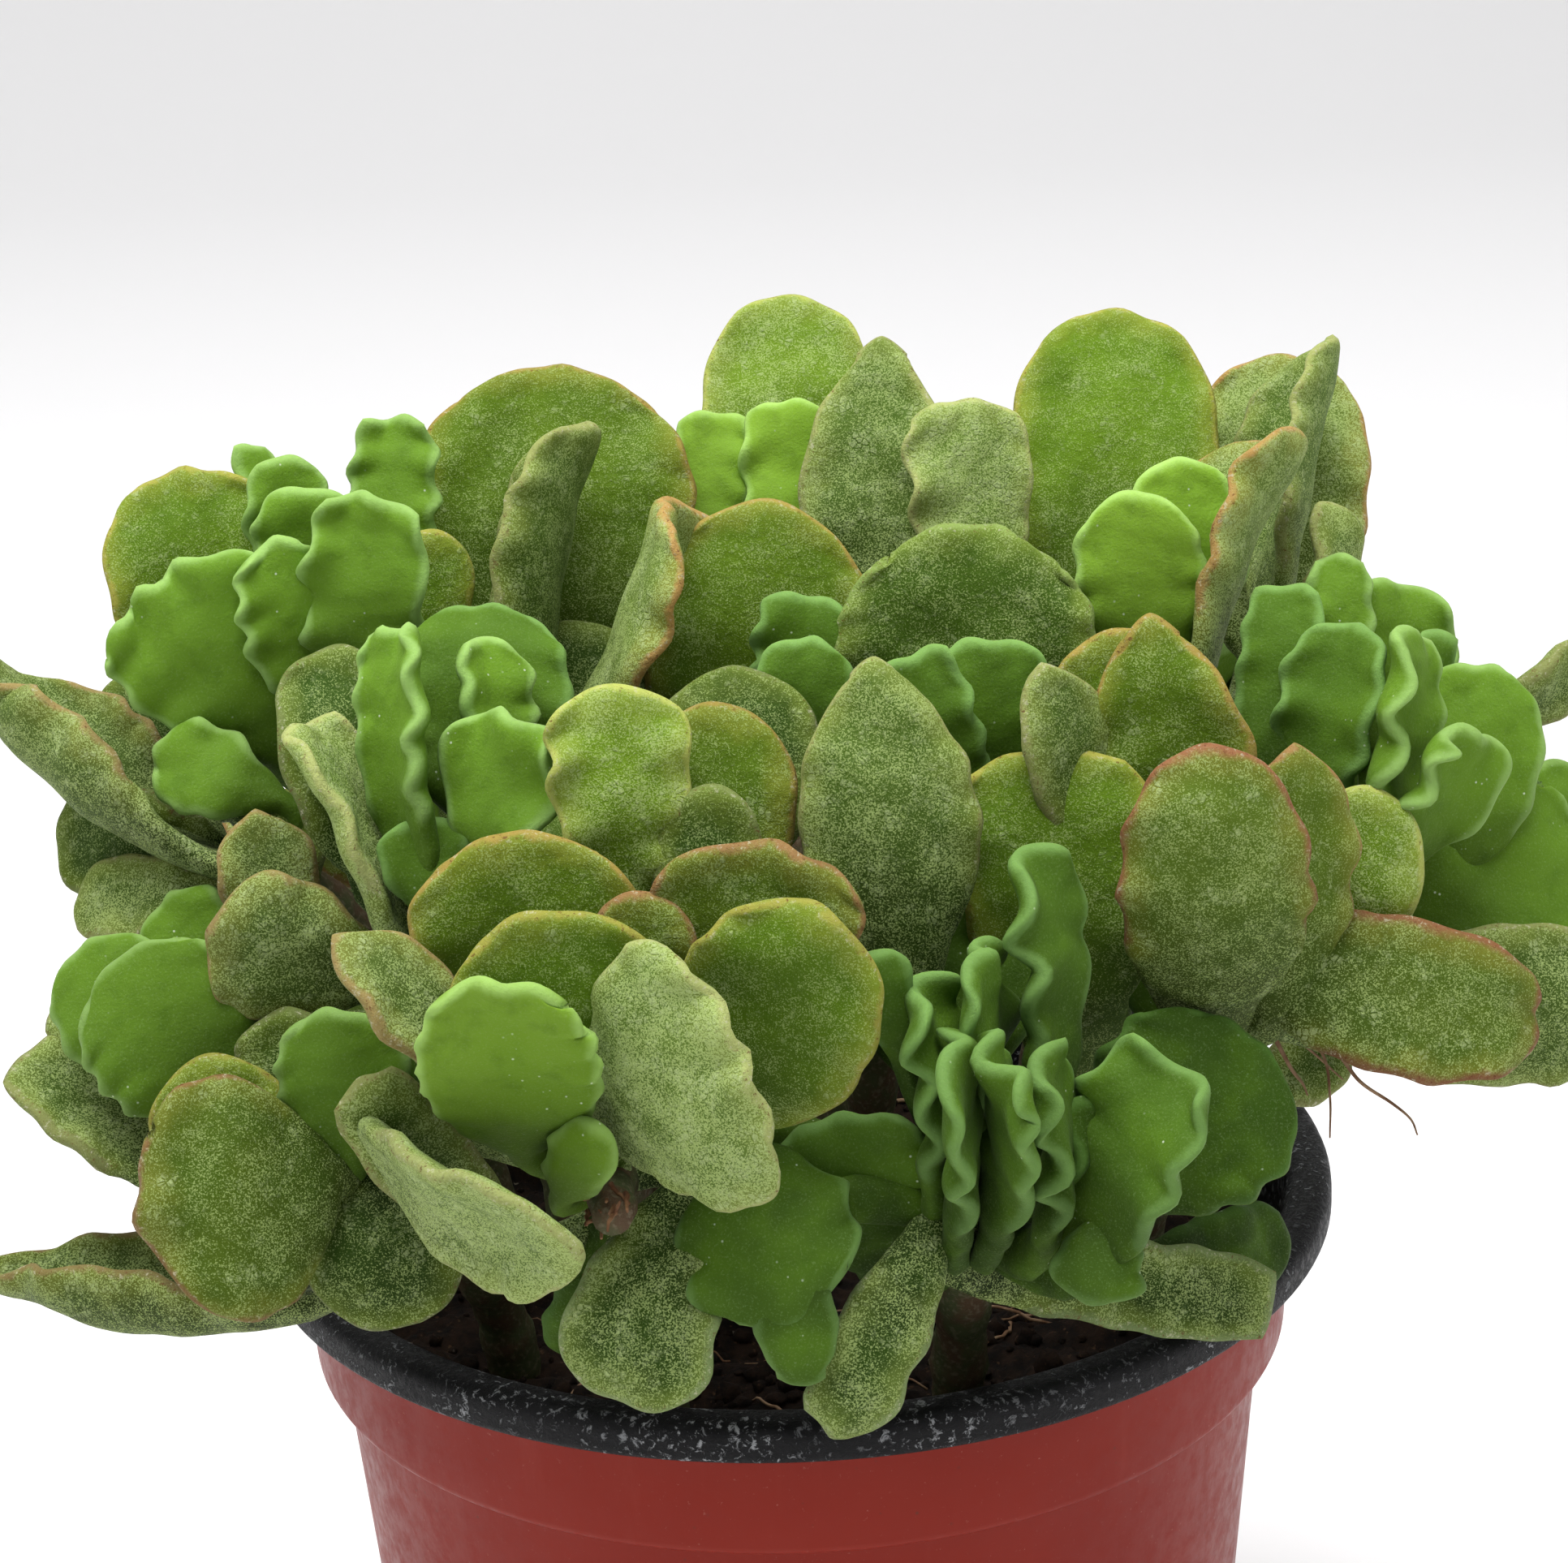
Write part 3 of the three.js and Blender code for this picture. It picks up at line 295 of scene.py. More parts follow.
SHOOTS["shoot_right_upper"] = Shoot((33, 0), (56, -7, -36), [
    ("lime", "strap", 55, 22.3, -33, 55, 3, -34, 6.5, 0, 0.5, 50, 1),
    ("lime", "wedge", 61, 20, -30, 58.5, 1, -30, 12, 20, 0.5, 80, 1.6),
    ("green", "strap", 65, 15, -34, 62, 1, -34, 5, 20, 0, 30, 0.8),
    ("grey", "wedge", 55, 27.7, -21, 52, 8, -26, 7.5, 40, 0.5, 30, 0.6),
    ("green", "strap", 50.3, 19.4, -39, 48, 0, -39, 8, -20, 0.5, 60, 0.5),
    ("green", "spoon", 57.2, 15.6, -43, 52.5, -6, -40, 11, -35, 1, 90, 0.8),
    ("lime", "strap", 61.5, 15.3, -45, 57, -10, -42, 12, 62, 1, 110, 1.6),
    ("lime", "round", 69.5, 11.6, -36, 66, -9, -35, 13.5, 0, 1, 20, 0.6),
    ("lime", "wedge", 67.8, 5.5, -47, 60, -9, -42, 11, 45, 1, 100, 1.6),
    ("grey", "strap", 86, 16, -22, 69, 5, -28, 8, 40, 0, 50, 0.8),
    ("lime", "round", 79.5, -5, -31, 59, -13, -36, 17, 0, 1.5, 20, 0.7),
    ("light", "round", 58.5, -0.5, -49, 54, -20, -44, 12, 0, 1, 20, 0.4),
    ("lime", "spoon", 79.5, 0, -26, 66, -6, -30, 7, 0, 0.5, 20, 0.4),
])
SHOOTS["shoot_right"] = Shoot((31, -14), (45, -24.3, -46.7), [
    ("red", "egg", 42.3, 4.3, -65, 42.8, -20.5, -54, 16.5, 0, 3, -40, 0.8),
    ("rust", "point", 50.7, 3.9, -57, 49, -22, -49, 13, 20, 1, -20, 0.6),
    ("red", "oval", 75.5, -24, -47, 47.5, -18.5, -48, 14, 0, 2, 20, 0.8),
    ("grey", "spoon", 86, -22.5, -36, 49, -23.5, -45, 15.5, 10, -2, -30, 0.4),
    ("grey", "spoon", 55.5, -25.8, -36, 45, -32, -42, 7, 0, 0.5, 20, 0.4),
    ("deep", "round", 36, -10, -36, 41, -25, -42, 13, 0, 1, 20, 0.4),
])
SHOOTS["shoot_crest"] = Shoot((14, -31), (20, -43, -56), [
    ("green", "strap", 24.8, -7, -62, 26, -31, -58, 9, 50, 1, 60, 1.8),
    ("green", "wedge", 18.9, -16.3, -64, 19, -40, -57, 12, 76, 1, 20, 1.9),
    ("green", "wedge", 13.6, -20, -66, 15, -43, -58, 11, 68, 1, 30, 1.9),
    ("green", "wedge", 16.3, -27, -72, 17, -46, -59, 12, 82, 1, 20, 1.9),
    ("green", "wedge", 21.3, -27, -73, 20.5, -46, -59, 12, 104, 1, 20, 1.9),
    ("green", "strap", 25.6, -27, -69, 26, -45, -58, 10, 78, 1, 30, 1.8),
    ("deep", "strap", 30, -31.3, -62, 28.5, -43, -57, 6, 50, 0.5, 40, 1.5),
    ("green", "strap", 40, -28, -66, 30, -46, -58, 13.5, -38, 1.5, 60, 1.9),
    ("green", "wedge", 30.5, -52, -62, 32, -43, -59, 8, 0, 1.5, -30, 1),
    ("deep", "round", 46.5, -25, -54, 33, -41, -53, 18.5, 0, 1.5, 20, 0.8),
    ("deep", "round", 16, -9.5, -49, 16, -31, -51, 17, 0, 1, 20, 0.6),
    ("green", "spoon", 8.6, -16.6, -66.5, 12, -28, -61, 5.5, 0, 0.5, 20, 0.4),
    ("green", "wedge", 4.5, -33.3, -59, 9, -48, -54, 15, 0, 1, 20, 1.1),
    ("green", "round", 2, -53.5, -64, -5, -37, -58, 16, 0, 2, -20, 1.6),
    ("frost", "strap", 4.5, -65, -60, 14, -46, -59, 8, 0, 2, -20, 1.1),
    ("frost", "strap", 48.5, -52, -41, 18, -48, -52, 8.5, 0, -2, 50, 0.3),
    ("deep", "spoon", 50, -45.5, -32, 34, -48, -44, 8, 0, 0.5, 20, 0.3),
    ("green", "tail", 1.8, -60.2, -63, 0.8, -48, -63, 7, 0, 1, 0, 0.5),
])

# Shoots on the side turned from the viewing point. root: in the soil. crown: x, y, z. Their leaves fan out
# round a heading, in degrees, from wide and low ones to small steep ones.
GOLDEN_PART = 0.618
RearShoot = namedtuple("RearShoot", "root crown heading spread seed")
REAR_SHOOTS = {
    "shoot_rear_left": RearShoot((-20, 24), (-42, 32, 119), 152, 170, 3),
    "shoot_rear_middle": RearShoot((4, 33), (2, 48, 128), 90, 150, 1),
    "shoot_rear_right": RearShoot((28, 26), (44, 35, 119), 36, 180, 5),
}
REAR_LENGTH = (35, 21)
REAR_WIDTH = (18, 11)
REAR_LIFT = (8, 72)
REAR_HEIGHT = (0.55, 0.95)
REAR_SCATTER = (0.9, 1.1)
REAR_TILT = 20
REAR_LEAN = 0.3
REAR_FOOT = 0.3
REAR_YOUNG_FROM = 0.6
REAR_FORM = dict(bow=1.5, curl=math.radians(30), wave=0.7)
REAR_FINISHES = ("olive", "grey", "yellow", "rust", "olive", "yellow", "green", "lime", "lime", "bright")

FRONT_SEED = 11
REAR_SEED = 31
Leaf = namedtuple("Leaf", "finish outline tip foot joint width facing roll bow curl wave phase")


def unit(value):
    return np.clip(value, 0, 1)


def ease(value):
    t = unit(value)
    return t * t * (3 - 2 * t)


def mix(span, t):
    return span[0] + (span[1] - span[0]) * t


def length_of(vector):
    return float(np.linalg.norm(vector))


def direction(vector):
    return vector / np.linalg.norm(vector, axis=-1, keepdims=True)


def square_to(vector, axis):
    """The part of a direction that is square to an axis, as a unit vector."""
    return direction(vector - axis * np.sum(vector * axis, axis=-1, keepdims=True))


def scaled(vectors, amounts):
    return vectors * amounts[..., None]


def seen(place):
    """The point at a place given across, up and back from the viewing point."""
    across, up, back = place
    reach = VIEW_DISTANCE + back
    side = (VIEW_RIGHT * across + VIEW_UP * up) * reach / VIEW_DISTANCE
    return VIEW_POINT + VIEW_AHEAD * reach + side


def bend(start, knee, end, t):
    """Points on the bent line from start over knee to end, and its directions there."""
    t = np.asarray(t)[..., None]
    point = start * (1 - t) ** 2 + knee * 2 * t * (1 - t) + end * t**2
    along = (knee - start) * (1 - t) + (end - knee) * t
    return point, direction(along)


def turned_about(vector, axis, angle):
    return np.array(Matrix.Rotation(angle, 3, Vector(axis)) @ Vector(vector))


def breadth(form, s):
    """Width of a blade at s from foot to tip, as a share of its greatest width."""
    rise = np.sin(math.pi / 2 * unit(s / form.widest)) ** form.ease
    past = unit((s - form.widest) / (1 - form.widest))
    return (form.foot + (1 - form.foot) * rise) * (1 - form.narrow * past**3)


def stem_points(root, crown):
    start = np.array([root[0], root[1], SOIL_Z - ROOT_DEPTH])
    knee = np.array([root[0], root[1], (SOIL_Z + crown[2]) / 2])
    return lambda t: bend(start, knee, crown, t)


def joint_of(stem, foot, tip):
    """Where a leaf grows from its stem: off the axis, by the point nearest to the foot carried on down."""
    heel = foot + direction(foot - tip) * PETIOLE_REACH
    points, _ = stem(np.arange(CURVE_POINTS // 4, CURVE_POINTS + 1) / CURVE_POINTS)
    axis = points[np.argmin(np.linalg.norm(points - heel, axis=1))]
    return axis + direction(foot - axis) * JOINT_OFFSET


def seen_leaves(shoot, stem):
    """The leaves of a shoot that faces the viewing point, from its rows of numbers."""
    leaves = []
    for k, (finish, outline, *numbers, width, roll, bow, curl, wave) in enumerate(shoot.leaves):
        tip, foot = seen(numbers[:3]), seen(numbers[3:])
        leaves.append(Leaf(
            finish, outline, tip, foot, joint_of(stem, foot, tip), width, -VIEW_AHEAD,
            math.radians(roll), bow, math.radians(curl), wave, PHASE_STEP * k,
        ))
    return leaves


def draws(seed):
    """Repeatable draws between 0 and 1, for the rear shoots."""
    state = seed * 7919
    while True:
        state = (state * 48271) % 2147483647
        yield state / 2147483647


def rear_leaves(shoot, stem):
    """The leaves of a shoot on the far side: a spiral round the crown that closes upwards."""
    draw = draws(shoot.seed)
    leaves = []
    for k, finish in enumerate(REAR_FINISHES):
        t = k / (len(REAR_FINISHES) - 1)
        part = ((k + shoot.seed) * GOLDEN_PART) % 1 - 0.5
        turn = math.radians(shoot.heading + shoot.spread * part)
        lift = math.radians(mix(REAR_LIFT, t))
        length = mix(REAR_LENGTH, t) * mix(REAR_SCATTER, next(draw))
        width = mix(REAR_WIDTH, t) * mix(REAR_SCATTER, next(draw))
        roll = math.radians(REAR_TILT * (next(draw) - 0.5))
        out = np.array([math.cos(turn), math.sin(turn), 0])
        lie = out * math.cos(lift) + np.array([0, 0, math.sin(lift)])
        joint = stem(mix(REAR_HEIGHT, t))[0]
        leaves.append(Leaf(
            finish, "wedge" if t > REAR_YOUNG_FROM else "round", tip=joint + lie * length,
            foot=joint + lie * length * REAR_FOOT, joint=joint, width=width,
            facing=np.array([0, 0, 1]) - REAR_LEAN * out, roll=roll, phase=PHASE_STEP * k, **REAR_FORM,
        ))
    return leaves


def uneven(rng, x, y, height, span):
    """Gentle unevenness over x and y in mm: a few sines with wavelengths near span."""
    total = np.zeros_like(x)
    for _ in range(UNEVEN_SINES):
        angle = rng.uniform(0, FULL_TURN)
        step = FULL_TURN / (span * rng.uniform(*UNEVEN_SCATTER))
        total += np.sin(step * (x * math.cos(angle) + y * math.sin(angle)) + rng.uniform(0, 6.3))
    return total * height / (UNEVEN_SINES / 2)


def leaf_grid(width, length, young, ruffled):
    """Places on a leaf: s from -1 at its joint over 0 at its foot to 1 at its tip, v from side to side."""
    columns = WIDE_COLUMNS if width >= WIDE_LEAF or ruffled else NARROW_COLUMNS
    rows = int(np.clip(length / (YOUNG_ROW if young else OLD_ROW), *ROW_LIMITS))
    t = np.linspace(0, 1, rows + 1)
    blade = EVEN_ROWS * t + (1 - EVEN_ROWS) * np.sin(math.pi / 2 * t)
    across = np.linspace(-1, 1, columns + 1)
    across = EVEN_COLUMNS * across + (1 - EVEN_COLUMNS) * np.sin(math.pi / 2 * across)
    lengthwise = np.concatenate([np.linspace(-1, 0, PETIOLE_ROWS)[:-1], blade])
    return np.meshgrid(lengthwise, across / across[-1], indexing="ij")


def margin_wave(place, step, start, phases):
    """Rise and reach of the waves at a place along the margin, in mm from the middle of the tip."""
    turns = FULL_TURN * (place + DRIFT * np.sin(place / DRIFT_SPAN + phases[0])) / step + start
    strength = STRENGTH + STRENGTH_SWING * np.sin(place / SWING_SPAN + phases[1])
    rise = np.sin(turns) + OVERTONE * np.sin(OVERTONE_PITCH * turns + phases[2])
    return strength * np.stack([rise, np.cos(turns)])


def leaf_faces(inner):
    """Faces that close a leaf, whose two sides share all points but the inner ones."""
    front = np.arange(inner.size).reshape(inner.shape)
    back = front.copy()
    back[inner] = inner.size + np.arange(inner.sum())
    faces = []
    for index, is_back in ((front, False), (back, True)):
        corners = [index[:-1, :-1], index[:-1, 1:], index[1:, 1:], index[1:, :-1]]
        cells = np.stack(corners, axis=-1).reshape(-1, 4).tolist()
        # At the tip's two corners both sides share three points, so those cells are split at the fourth
        left, right = cells.pop(1 - inner.shape[1]), cells.pop()
        cells += [[left[0], left[1], left[3]], left[1:], right[:3], [right[0], *right[2:]]]
        faces += [[cell[0], *cell[:0:-1]] if is_back else cell for cell in cells]
    heel = zip(front[0, :-1], back[0, :-1], back[0, 1:], front[0, 1:])
    return faces + [list(dict.fromkeys(face)) for face in heel]


def leaf_mesh(leaf, rng):
    """One closed, thick leaf with a rounded, waved margin.

    Gives its points and faces, and for each point how far it is from the margin and from foot to tip.
    """
    finish, form = FINISHES[leaf.finish], OUTLINES[leaf.outline]
    foot, tip, width = leaf.foot, leaf.tip, leaf.width
    length = length_of(tip - foot)
    lie = (tip - foot) / length
    face = turned_about(square_to(leaf.facing, lie), lie, leaf.roll)
    knee = (foot + tip) / 2 + face * 2 * leaf.bow
    heel = foot - direction(knee - foot) * length_of(foot - leaf.joint) / 2
    petiole = min(PETIOLE_MAX, max(PETIOLE_MIN, form.foot * width / 2))
    foot_half = max(petiole, form.foot * width / 2)
    ruffled = leaf.wave >= RUFFLED
    s, v = leaf_grid(width, length, finish.young, ruffled)
    side, blade = np.abs(v), unit(s)
    grown = unit(WAVE_RISE * blade)

    # The plain blade: its midrib, its half width and its curl
    phases = rng.uniform(0, FULL_TURN, 6)
    theta = np.arctan2(v * width / 2, (blade - BEND_CENTRE) * length)
    wobble = sum(high * np.sin(count * theta + start) for (count, high), start in zip(OUTLINE_BENDS, phases))
    wobble *= unit(BEND_RISE * blade)
    drop = form.drop * min(1, width / length)
    reach = blade * (1 - drop * side**form.power * blade) * (1 + TIP_BEND * wobble * blade)
    body, body_along = bend(foot, knee, tip, reach)
    stalk, stalk_along = bend(leaf.joint, heel, foot, unit(1 + s))
    in_stalk = (s < 0)[..., None]
    point = np.where(in_stalk, stalk, body)
    along = np.where(in_stalk, stalk_along, body_along)
    stalk_half = mix((petiole, foot_half), unit(1 + s))
    half = np.where(s < 0, stalk_half, np.maximum(petiole, width / 2 * breadth(form, s))) * (1 + wobble)
    normal = square_to(face, along)
    right = np.cross(along, normal)
    curl_radius = width / max(leaf.curl, LEAST_CURL, key=abs)
    turn = v * half / curl_radius
    out, lift = curl_radius * np.sin(turn), curl_radius * (1 - np.cos(turn))

    # Waves that run along the margin and fade inwards, with scallops in the blade's own plane
    to_side = (1 - side) * half
    to_tip = (1 - blade) * length * TIP_SLANT
    near = -CORNER_SOFTNESS * np.log(np.exp(-to_side / CORNER_SOFTNESS) + np.exp(-to_tip / CORNER_SOFTNESS))
    tip_half = width / 2 * float(breadth(form, np.array(1.0)))
    step = RUFFLE_STEP if ruffled else (SCALLOP_STEP if finish.young else OLD_STEP)
    step *= rng.uniform(*STEP_SCATTER)
    down_side = tip_half + (1 - blade) * length
    left_wave, right_wave, tip_wave = (
        margin_wave(place, step, leaf.phase, phases[3:]) for place in (-down_side, down_side, v * tip_half))
    side_wave = (1 + v) / 2 * right_wave + (1 - v) / 2 * left_wave
    at_side, at_tip = np.exp(-to_side / CORNER_BLEND), np.exp(-to_tip / CORNER_BLEND)
    share = at_side / (at_side + at_tip)
    rise, spread = share * side_wave + (1 - share) * tip_wave
    fade = np.exp(-(np.maximum(near, 0) / (step * FADE_STEPS)) ** FADE_POWER) * grown
    ripple = leaf.wave * (YOUNG_WAVE if finish.young else OLD_WAVE) * fade * rise
    scallop = SCALLOP_SHARE * leaf.wave + (YOUNG_SCALLOP if finish.young else OLD_SCALLOP)
    scallop = scallop * fade * spread
    low = uneven(rng, v * half, blade * length, *LOW_RELIEF) * grown
    fine = uneven(rng, v * half, blade * length, *FINE_RELIEF) * grown
    faced = scaled(normal, np.cos(turn)) - scaled(right, np.sin(turn))
    across = scaled(right, np.cos(turn)) + scaled(normal, np.sin(turn))
    middle = point + scaled(right, out) + scaled(normal, lift) + scaled(faced, ripple + low)
    middle += scaled(across, scallop * v * side * share) + scaled(along, scallop * (1 - share))

    # The thickness stands square on the waved sheet
    square = np.cross(np.gradient(middle, axis=1), np.gradient(middle, axis=0))
    square /= np.maximum(np.linalg.norm(square, axis=-1, keepdims=True), 1e-9)
    square *= np.sign(np.sum(faced * square, axis=-1, keepdims=True) + 1e-9)
    faced = direction(square + FACE_SHARE * faced)
    rim = np.sqrt(1 - (1 - unit(to_side / MARGIN_ROUND)) ** 2)
    rim = rim * np.sqrt(1 - (1 - unit(to_tip / MARGIN_ROUND)) ** 2)
    full = mix((PETIOLE_THICKNESS, LEAF_THICKNESS), blade)
    thick = full / 2 * (1 - SIDE_THINNING * v**2) * (1 - TIP_THINNING * blade**2) * rim
    to_margin = np.minimum(to_side, to_tip) + FOOT_MARGIN * (1 - unit(FOOT_RISE * blade))
    to_margin = np.where(s < 0, FAR_FROM_MARGIN, to_margin)
    front = middle + scaled(faced, thick + fine * rim)
    back = middle - scaled(faced, thick)
    inner = np.ones(s.shape, bool)
    inner[-1] = inner[:, 0] = inner[:, -1] = False
    points = np.concatenate([front.reshape(-1, 3), back[inner]])
    margin, lengthwise = (np.concatenate([values.ravel(), values[inner]]) for values in (to_margin, blade))
    return points, leaf_faces(inner), margin, lengthwise


def ring_faces(rings, sides):
    """Faces between rings of points that follow each other."""
    faces = []
    for k in range(rings - 1):
        for j in range(sides):
            a, b = k * sides + j, k * sides + (j + 1) % sides
            faces.append([a, b, b + sides, a + sides])
    return faces


def tube_mesh(points, radii, sides=14):
    """A closed round tube along points, with a radius at each."""
    points = np.asarray(points, float)
    along = direction(np.gradient(points, axis=0))
    across = square_to(np.array([0.31, 0.95, 0.11]), along[0])
    turn = np.linspace(0, FULL_TURN, sides, endpoint=False)[:, None]
    rings = []
    for centre, way, radius in zip(points, along, radii):
        across = square_to(across, way)
        rings.append(centre + radius * (across * np.cos(turn) + np.cross(way, across) * np.sin(turn)))
    last = (len(points) - 1) * sides
    caps = [list(range(sides))[::-1], [last + j for j in range(sides)]]
    return np.concatenate(rings), ring_faces(len(points), sides) + caps


def new_mesh(name, points, faces):
    mesh = bpy.data.meshes.new(name)
    mesh.from_pydata(np.asarray(points).tolist(), [], faces)
    mesh.polygons.foreach_set("use_smooth", np.ones(len(faces), bool))
    return mesh


def add_object(name, data):
    """Puts a mesh, light or camera into the scene."""
    made = bpy.data.objects.new(name, data)
    bpy.context.scene.collection.objects.link(made)
    return made


class Heap:
    """Collects parts of one piece: vertices, faces, and numbers for each vertex."""

    def __init__(self):
        self.points, self.faces, self.materials = [], [], []
        self.numbers = {}
        self.size = 0

    def add(self, points, faces, material=0, **numbers):
        self.points.append(np.asarray(points, float))
        self.faces.extend([[int(i) + self.size for i in face] for face in faces])
        self.materials.extend([material] * len(faces))
        for name, value in numbers.items():
            shape = (len(points), 3) if name.endswith("colour") else len(points)
            self.numbers.setdefault(name, []).append(np.broadcast_to(value, shape))
        self.size += len(points)

    def piece(self, name, materials, slot, *nodes):
        """Makes the piece in Blender, in metres, riding on the plant's one body."""
        mesh = new_mesh(name, np.concatenate(self.points) * MM, self.faces)
        mesh.polygons.foreach_set("material_index", self.materials)
        for key, parts in self.numbers.items():
            values = np.concatenate(parts)
            if values.ndim == 1:
                mesh.attributes.new(key, "FLOAT", "POINT").data.foreach_set("value", values)
            else:
                colour = np.concatenate([values, np.ones((len(values), 1))], axis=1)
                data = mesh.attributes.new(key, "FLOAT_COLOR", "POINT").data
                data.foreach_set("color", colour.ravel())
        mesh.update()
        made = add_object(name, mesh)
        for material in materials:
            mesh.materials.append(material)
        if nodes:
            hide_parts(*nodes)
        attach(made, "root")


class Nodes:
    """Short calls that build a procedural material."""

    def __init__(self, name):
        self.material = bpy.data.materials.new(name)
        self.material.use_nodes = True
        self.tree = self.material.node_tree
        self.shader = self.tree.nodes["Principled BSDF"]
        self.place = self.new("TexCoord").outputs["Object"]

    def link(self, value, socket):
        if isinstance(value, bpy.types.NodeSocket):
            self.tree.links.new(value, socket)
        elif isinstance(value, tuple) and len(value) == 3 and socket.type == "RGBA":
            socket.default_value = (*value, 1)
        else:
            socket.default_value = value

    def new(self, kind, **inputs):
        node = self.tree.nodes.new("ShaderNode" + kind)
        for name, value in inputs.items():
            self.link(value, node.inputs[name.replace("_", " ")])
        return node

    def attribute(self, name, output="Fac"):
        """A number of the vertices, or with the output Color a colour of theirs."""
        node = self.new("Attribute")
        node.attribute_name = name
        return node.outputs[output]

    def math(self, operation, a, b, clamp=False):
        node = self.new("Math")
        node.operation, node.use_clamp = operation, clamp
        self.link(a, node.inputs[0])
        self.link(b, node.inputs[1])
        return node.outputs[0]

    def add(self, a, b):
        return self.math("ADD", a, b)

    def times(self, a, b):
        return self.math("MULTIPLY", a, b)

    def minus(self, a, b, clamp=False):
        return self.math("SUBTRACT", a, b, clamp)

    def noise(self, size_mm, detail=2.0, rough=0.5, stretch=None, warp=0.0):
        """Noise whose patches are about size_mm across."""
        place = self.place
        if stretch:
            node = self.new("VectorMath")
            node.operation = "MULTIPLY"
            self.link(place, node.inputs[0])
            self.link(stretch, node.inputs[1])
            place = node.outputs[0]
        node = self.new("TexNoise", Vector=place, Detail=detail, Roughness=rough, Distortion=warp)
        node.inputs["Scale"].default_value = 1 / (size_mm * MM)
        return node.outputs["Fac"]

    def cells(self, size_mm, feature="F1"):
        """Distances in cells of about size_mm."""
        node = self.new("TexVoronoi", Vector=self.place)
        node.feature = feature
        node.inputs["Scale"].default_value = 1 / (size_mm * MM)
        return node.outputs["Distance"]

    def span(self, value, low, high, to_low=0.0, to_high=1.0):
        """value eased from low..high to to_low..to_high."""
        node = self.new("MapRange")
        node.interpolation_type = "SMOOTHSTEP"
        for number, name in ((value, "Value"), (low, "From Min"), (high, "From Max"),
                             (to_low, "To Min"), (to_high, "To Max")):
            self.link(number, node.inputs[name])
        return node.outputs["Result"]

    def blend(self, factor, a, b):
        node = self.new("Mix")
        node.data_type = "RGBA"
        sockets = [s for s in node.inputs if s.type == "RGBA"]
        self.link(factor, node.inputs[0])
        self.link(a, sockets[0])
        self.link(b, sockets[1])
        return [s for s in node.outputs if s.type == "RGBA"][0]

    def bump(self, height, depth_mm):
        return self.new("Bump", Distance=depth_mm * MM, Height=height).outputs["Normal"]

    def finish(self, colour, roughness, normal, **numbers):
        numbers.update(Base_Color=colour, Roughness=roughness, Normal=normal)
        for name, value in numbers.items():
            self.link(value, self.shader.inputs[name.replace("_", " ")])
        return self.material


def young_leaf():
    """Velvety, matt, slightly see-through leaf with a pale rim of painted sheen and few white dots."""
    n = Nodes("leaf_young")
    margin = n.attribute("margin_mm")
    blade = n.attribute("blade_colour", "Color")
    cloud = n.noise(6, detail=3)
    blade = n.blend(n.span(cloud, 0.4, 0.7, 0, 0.3), blade, (0.12, 0.24, 0.01))
    dark = n.noise(2.2, detail=4)
    blade = n.blend(n.span(dark, 0.5, 0.75, 0, 0.3), blade, (0.038, 0.092, 0.004))
    down = n.noise(0.2, detail=3, rough=0.75)
    blade = n.blend(n.span(down, 0.52, 0.68, 0, 0.2), blade, (0.27, 0.38, 0.15))
    # The pale rim along the margin is painted sheen, standing in for the soft glow of the thin, downy edge
    edge = n.add(margin, n.times(n.minus(n.noise(0.8), 0.5), 0.5))
    blade = n.blend(n.span(edge, 0.0, 1.0, 0.7, 0), blade, n.attribute("margin_colour", "Color"))
    dots = n.cells(1.1)
    few = n.span(n.noise(6), 0.52, 0.66)
    white = n.times(n.span(dots, 0.05, 0.13, 0.75, 0), few)
    blade = n.blend(white, blade, (0.62, 0.70, 0.52))
    normal = n.bump(n.add(n.noise(0.3, detail=4, rough=0.7), n.noise(1.6, detail=3)), 0.1)
    rough = n.span(n.noise(2.5), 0.3, 0.7, 0.55, 0.72)
    return n.finish(
        blade, rough, normal, Subsurface_Weight=0.15, Subsurface_Radius=(0.9, 1.0, 0.25),
        Subsurface_Scale=1.0 * MM, Specular_IOR_Level=0.09, Sheen_Weight=0.02, Sheen_Roughness=0.4,
    )


